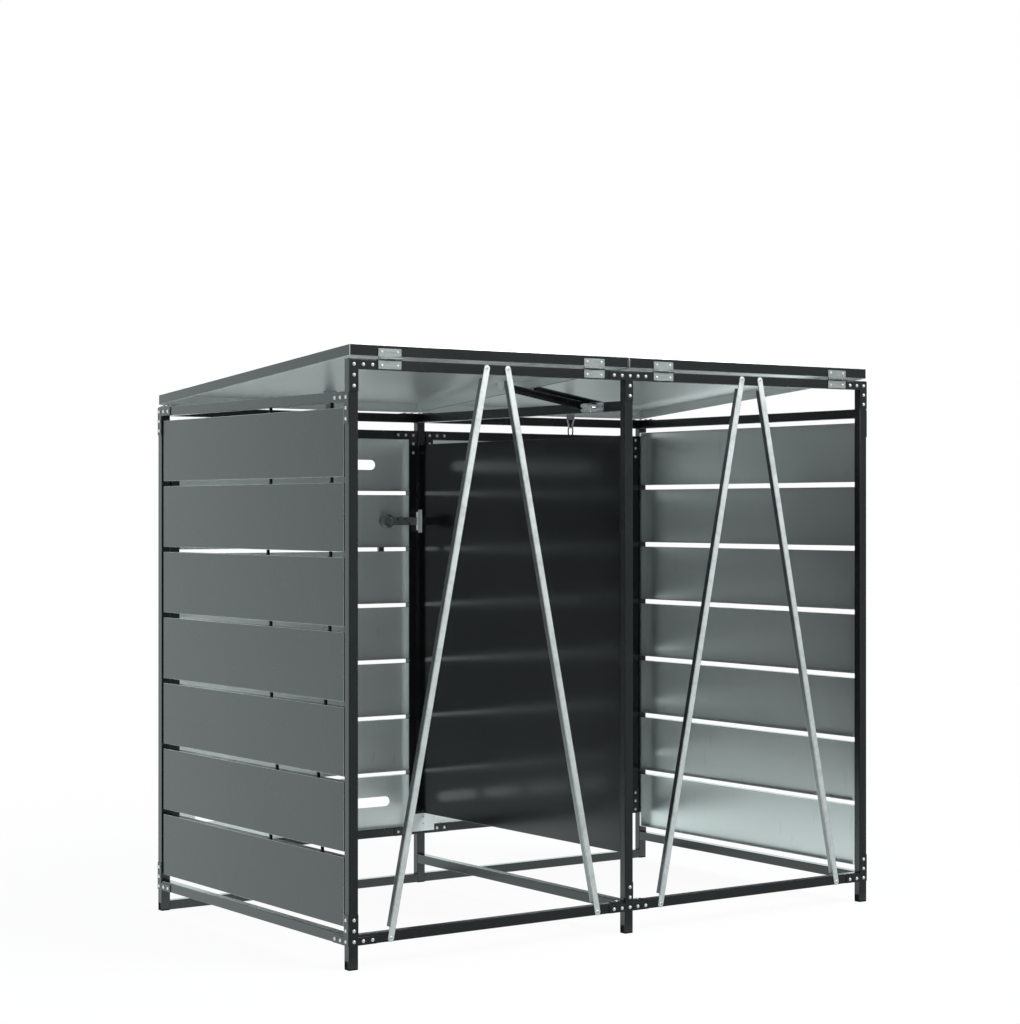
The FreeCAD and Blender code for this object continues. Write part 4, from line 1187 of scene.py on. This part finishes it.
def level_between(tree, factor, first, second):
    """A level between two, each a number or another node's output."""
    node = tree.nodes.new("ShaderNodeMix")
    feed(tree, node.inputs[0], factor)
    feed(tree, node.inputs[2], first)
    feed(tree, node.inputs[3], second)
    return node.outputs[0]


def show_mix(tree, factor, first, second, output):
    """Sends a mix of two shaders to the tree's output."""
    mix = tree.nodes.new("ShaderNodeMixShader")
    feed(tree, mix.inputs["Fac"], factor)
    feed(tree, mix.inputs[1], first)
    feed(tree, mix.inputs[2], second)
    feed(tree, tree.nodes[output].inputs["Surface"], mix.outputs["Shader"])


def set_world():
    """White to the camera; to reflections brightest in front of the store and dark behind it; else soft."""
    world = bpy.data.worlds.new("studio")
    bpy.context.scene.world = world
    world.use_nodes = True
    tree = world.node_tree
    background = tree.nodes["Background"]
    feed(tree, background.inputs["Color"], MIRRORED_TINT)
    where = tree.nodes.new("ShaderNodeTexCoord").outputs["Generated"]
    split = tree.nodes.new("ShaderNodeSeparateXYZ")
    feed(tree, split.inputs["Vector"], where)
    slant = calculated(tree, "MULTIPLY_ADD", split.outputs["X"], FRONT_SLANT, split.outputs["Y"])
    in_front = ramp(tree, slant, *FRONT_RAMP)
    behind = ramp(tree, split.outputs["Y"], *BACK_RAMP)
    mirrored_level = calculated(tree, "MULTIPLY", in_front, behind)
    level = level_between(tree, any_ray(tree, ["Is Glossy Ray"]), SOFT_LEVEL, mirrored_level)
    feed(tree, background.inputs["Strength"], level)
    clear = tree.nodes.new("ShaderNodeBackground")
    feed(tree, clear.inputs["Color"], WHITE)
    straight = any_ray(tree, ["Is Camera Ray", "Is Transmission Ray"])
    show_mix(tree, straight, background.outputs["Background"], clear.outputs["Background"], "World Output")


def set_floor():
    """White to the camera; to reflections bright and faintly green in front of the store, dark behind it."""
    mesh = bpy.data.meshes.new("floor")
    signs = ((-1, -1), (1, -1), (1, 1), (-1, 1))
    mesh.from_pydata([(x * FLOOR_HALF, y * FLOOR_HALF, 0) for x, y in signs], [], [(0, 1, 2, 3)])
    floor = placed("floor", mesh)
    made = bpy.data.materials.new("studio_floor")
    made.use_nodes = True
    tree = made.node_tree
    shader = tree.nodes["Principled BSDF"]
    feed(tree, shader.inputs["Base Color"], FLOOR_COLOUR)
    shader.inputs["Roughness"].default_value = 0.9
    shader.inputs["Specular IOR Level"].default_value = 0.1
    where = tree.nodes.new("ShaderNodeTexCoord").outputs["Object"]
    split = tree.nodes.new("ShaderNodeSeparateXYZ")
    feed(tree, split.inputs["Vector"], where)
    straight = any_ray(tree, ["Is Camera Ray", "Is Transmission Ray"])
    glow = tree.nodes.new("ShaderNodeEmission")
    feed(tree, glow.inputs["Color"], mixed(tree, straight, MIRRORED_TINT, WHITE))
    mirrored_level = ramp(tree, split.outputs["Y"], *FLOOR_BACK_RAMP)
    feed(tree, glow.inputs["Strength"], level_between(tree, straight, mirrored_level, 1))
    away = tree.nodes.new("ShaderNodeVectorMath")
    away.operation = "LENGTH"
    feed(tree, away.inputs[0], where)
    seen = any_ray(tree, ["Is Camera Ray", "Is Glossy Ray", "Is Transmission Ray"])
    share = calculated(tree, "MULTIPLY", seen, ramp(tree, away.outputs["Value"], *FLOOR_GLOW_RAMP))
    show_mix(tree, share, shader.outputs["BSDF"], glow.outputs["Emission"], "Material Output")
    mesh.materials.append(made)


def set_lamp(name, at, towards, size, power):
    data = bpy.data.lights.new(name, "AREA")
    data.size = size
    data.energy = power
    lamp = placed(name, data)
    lamp.location = at
    lamp.rotation_euler = (Vector(towards) - Vector(at)).to_track_quat("-Z", "Y").to_euler()


set_world()
set_floor()
set_lamp("key_softbox", (-2.4, 3.8, 4.2), (0, 0, 0.6), 3.0, 270)
set_lamp("top_softbox", (0.6, 0.4, 3.6), (0, 0, 0.6), 2.6, 30)
bpy.context.scene.view_settings.view_transform = "Standard"
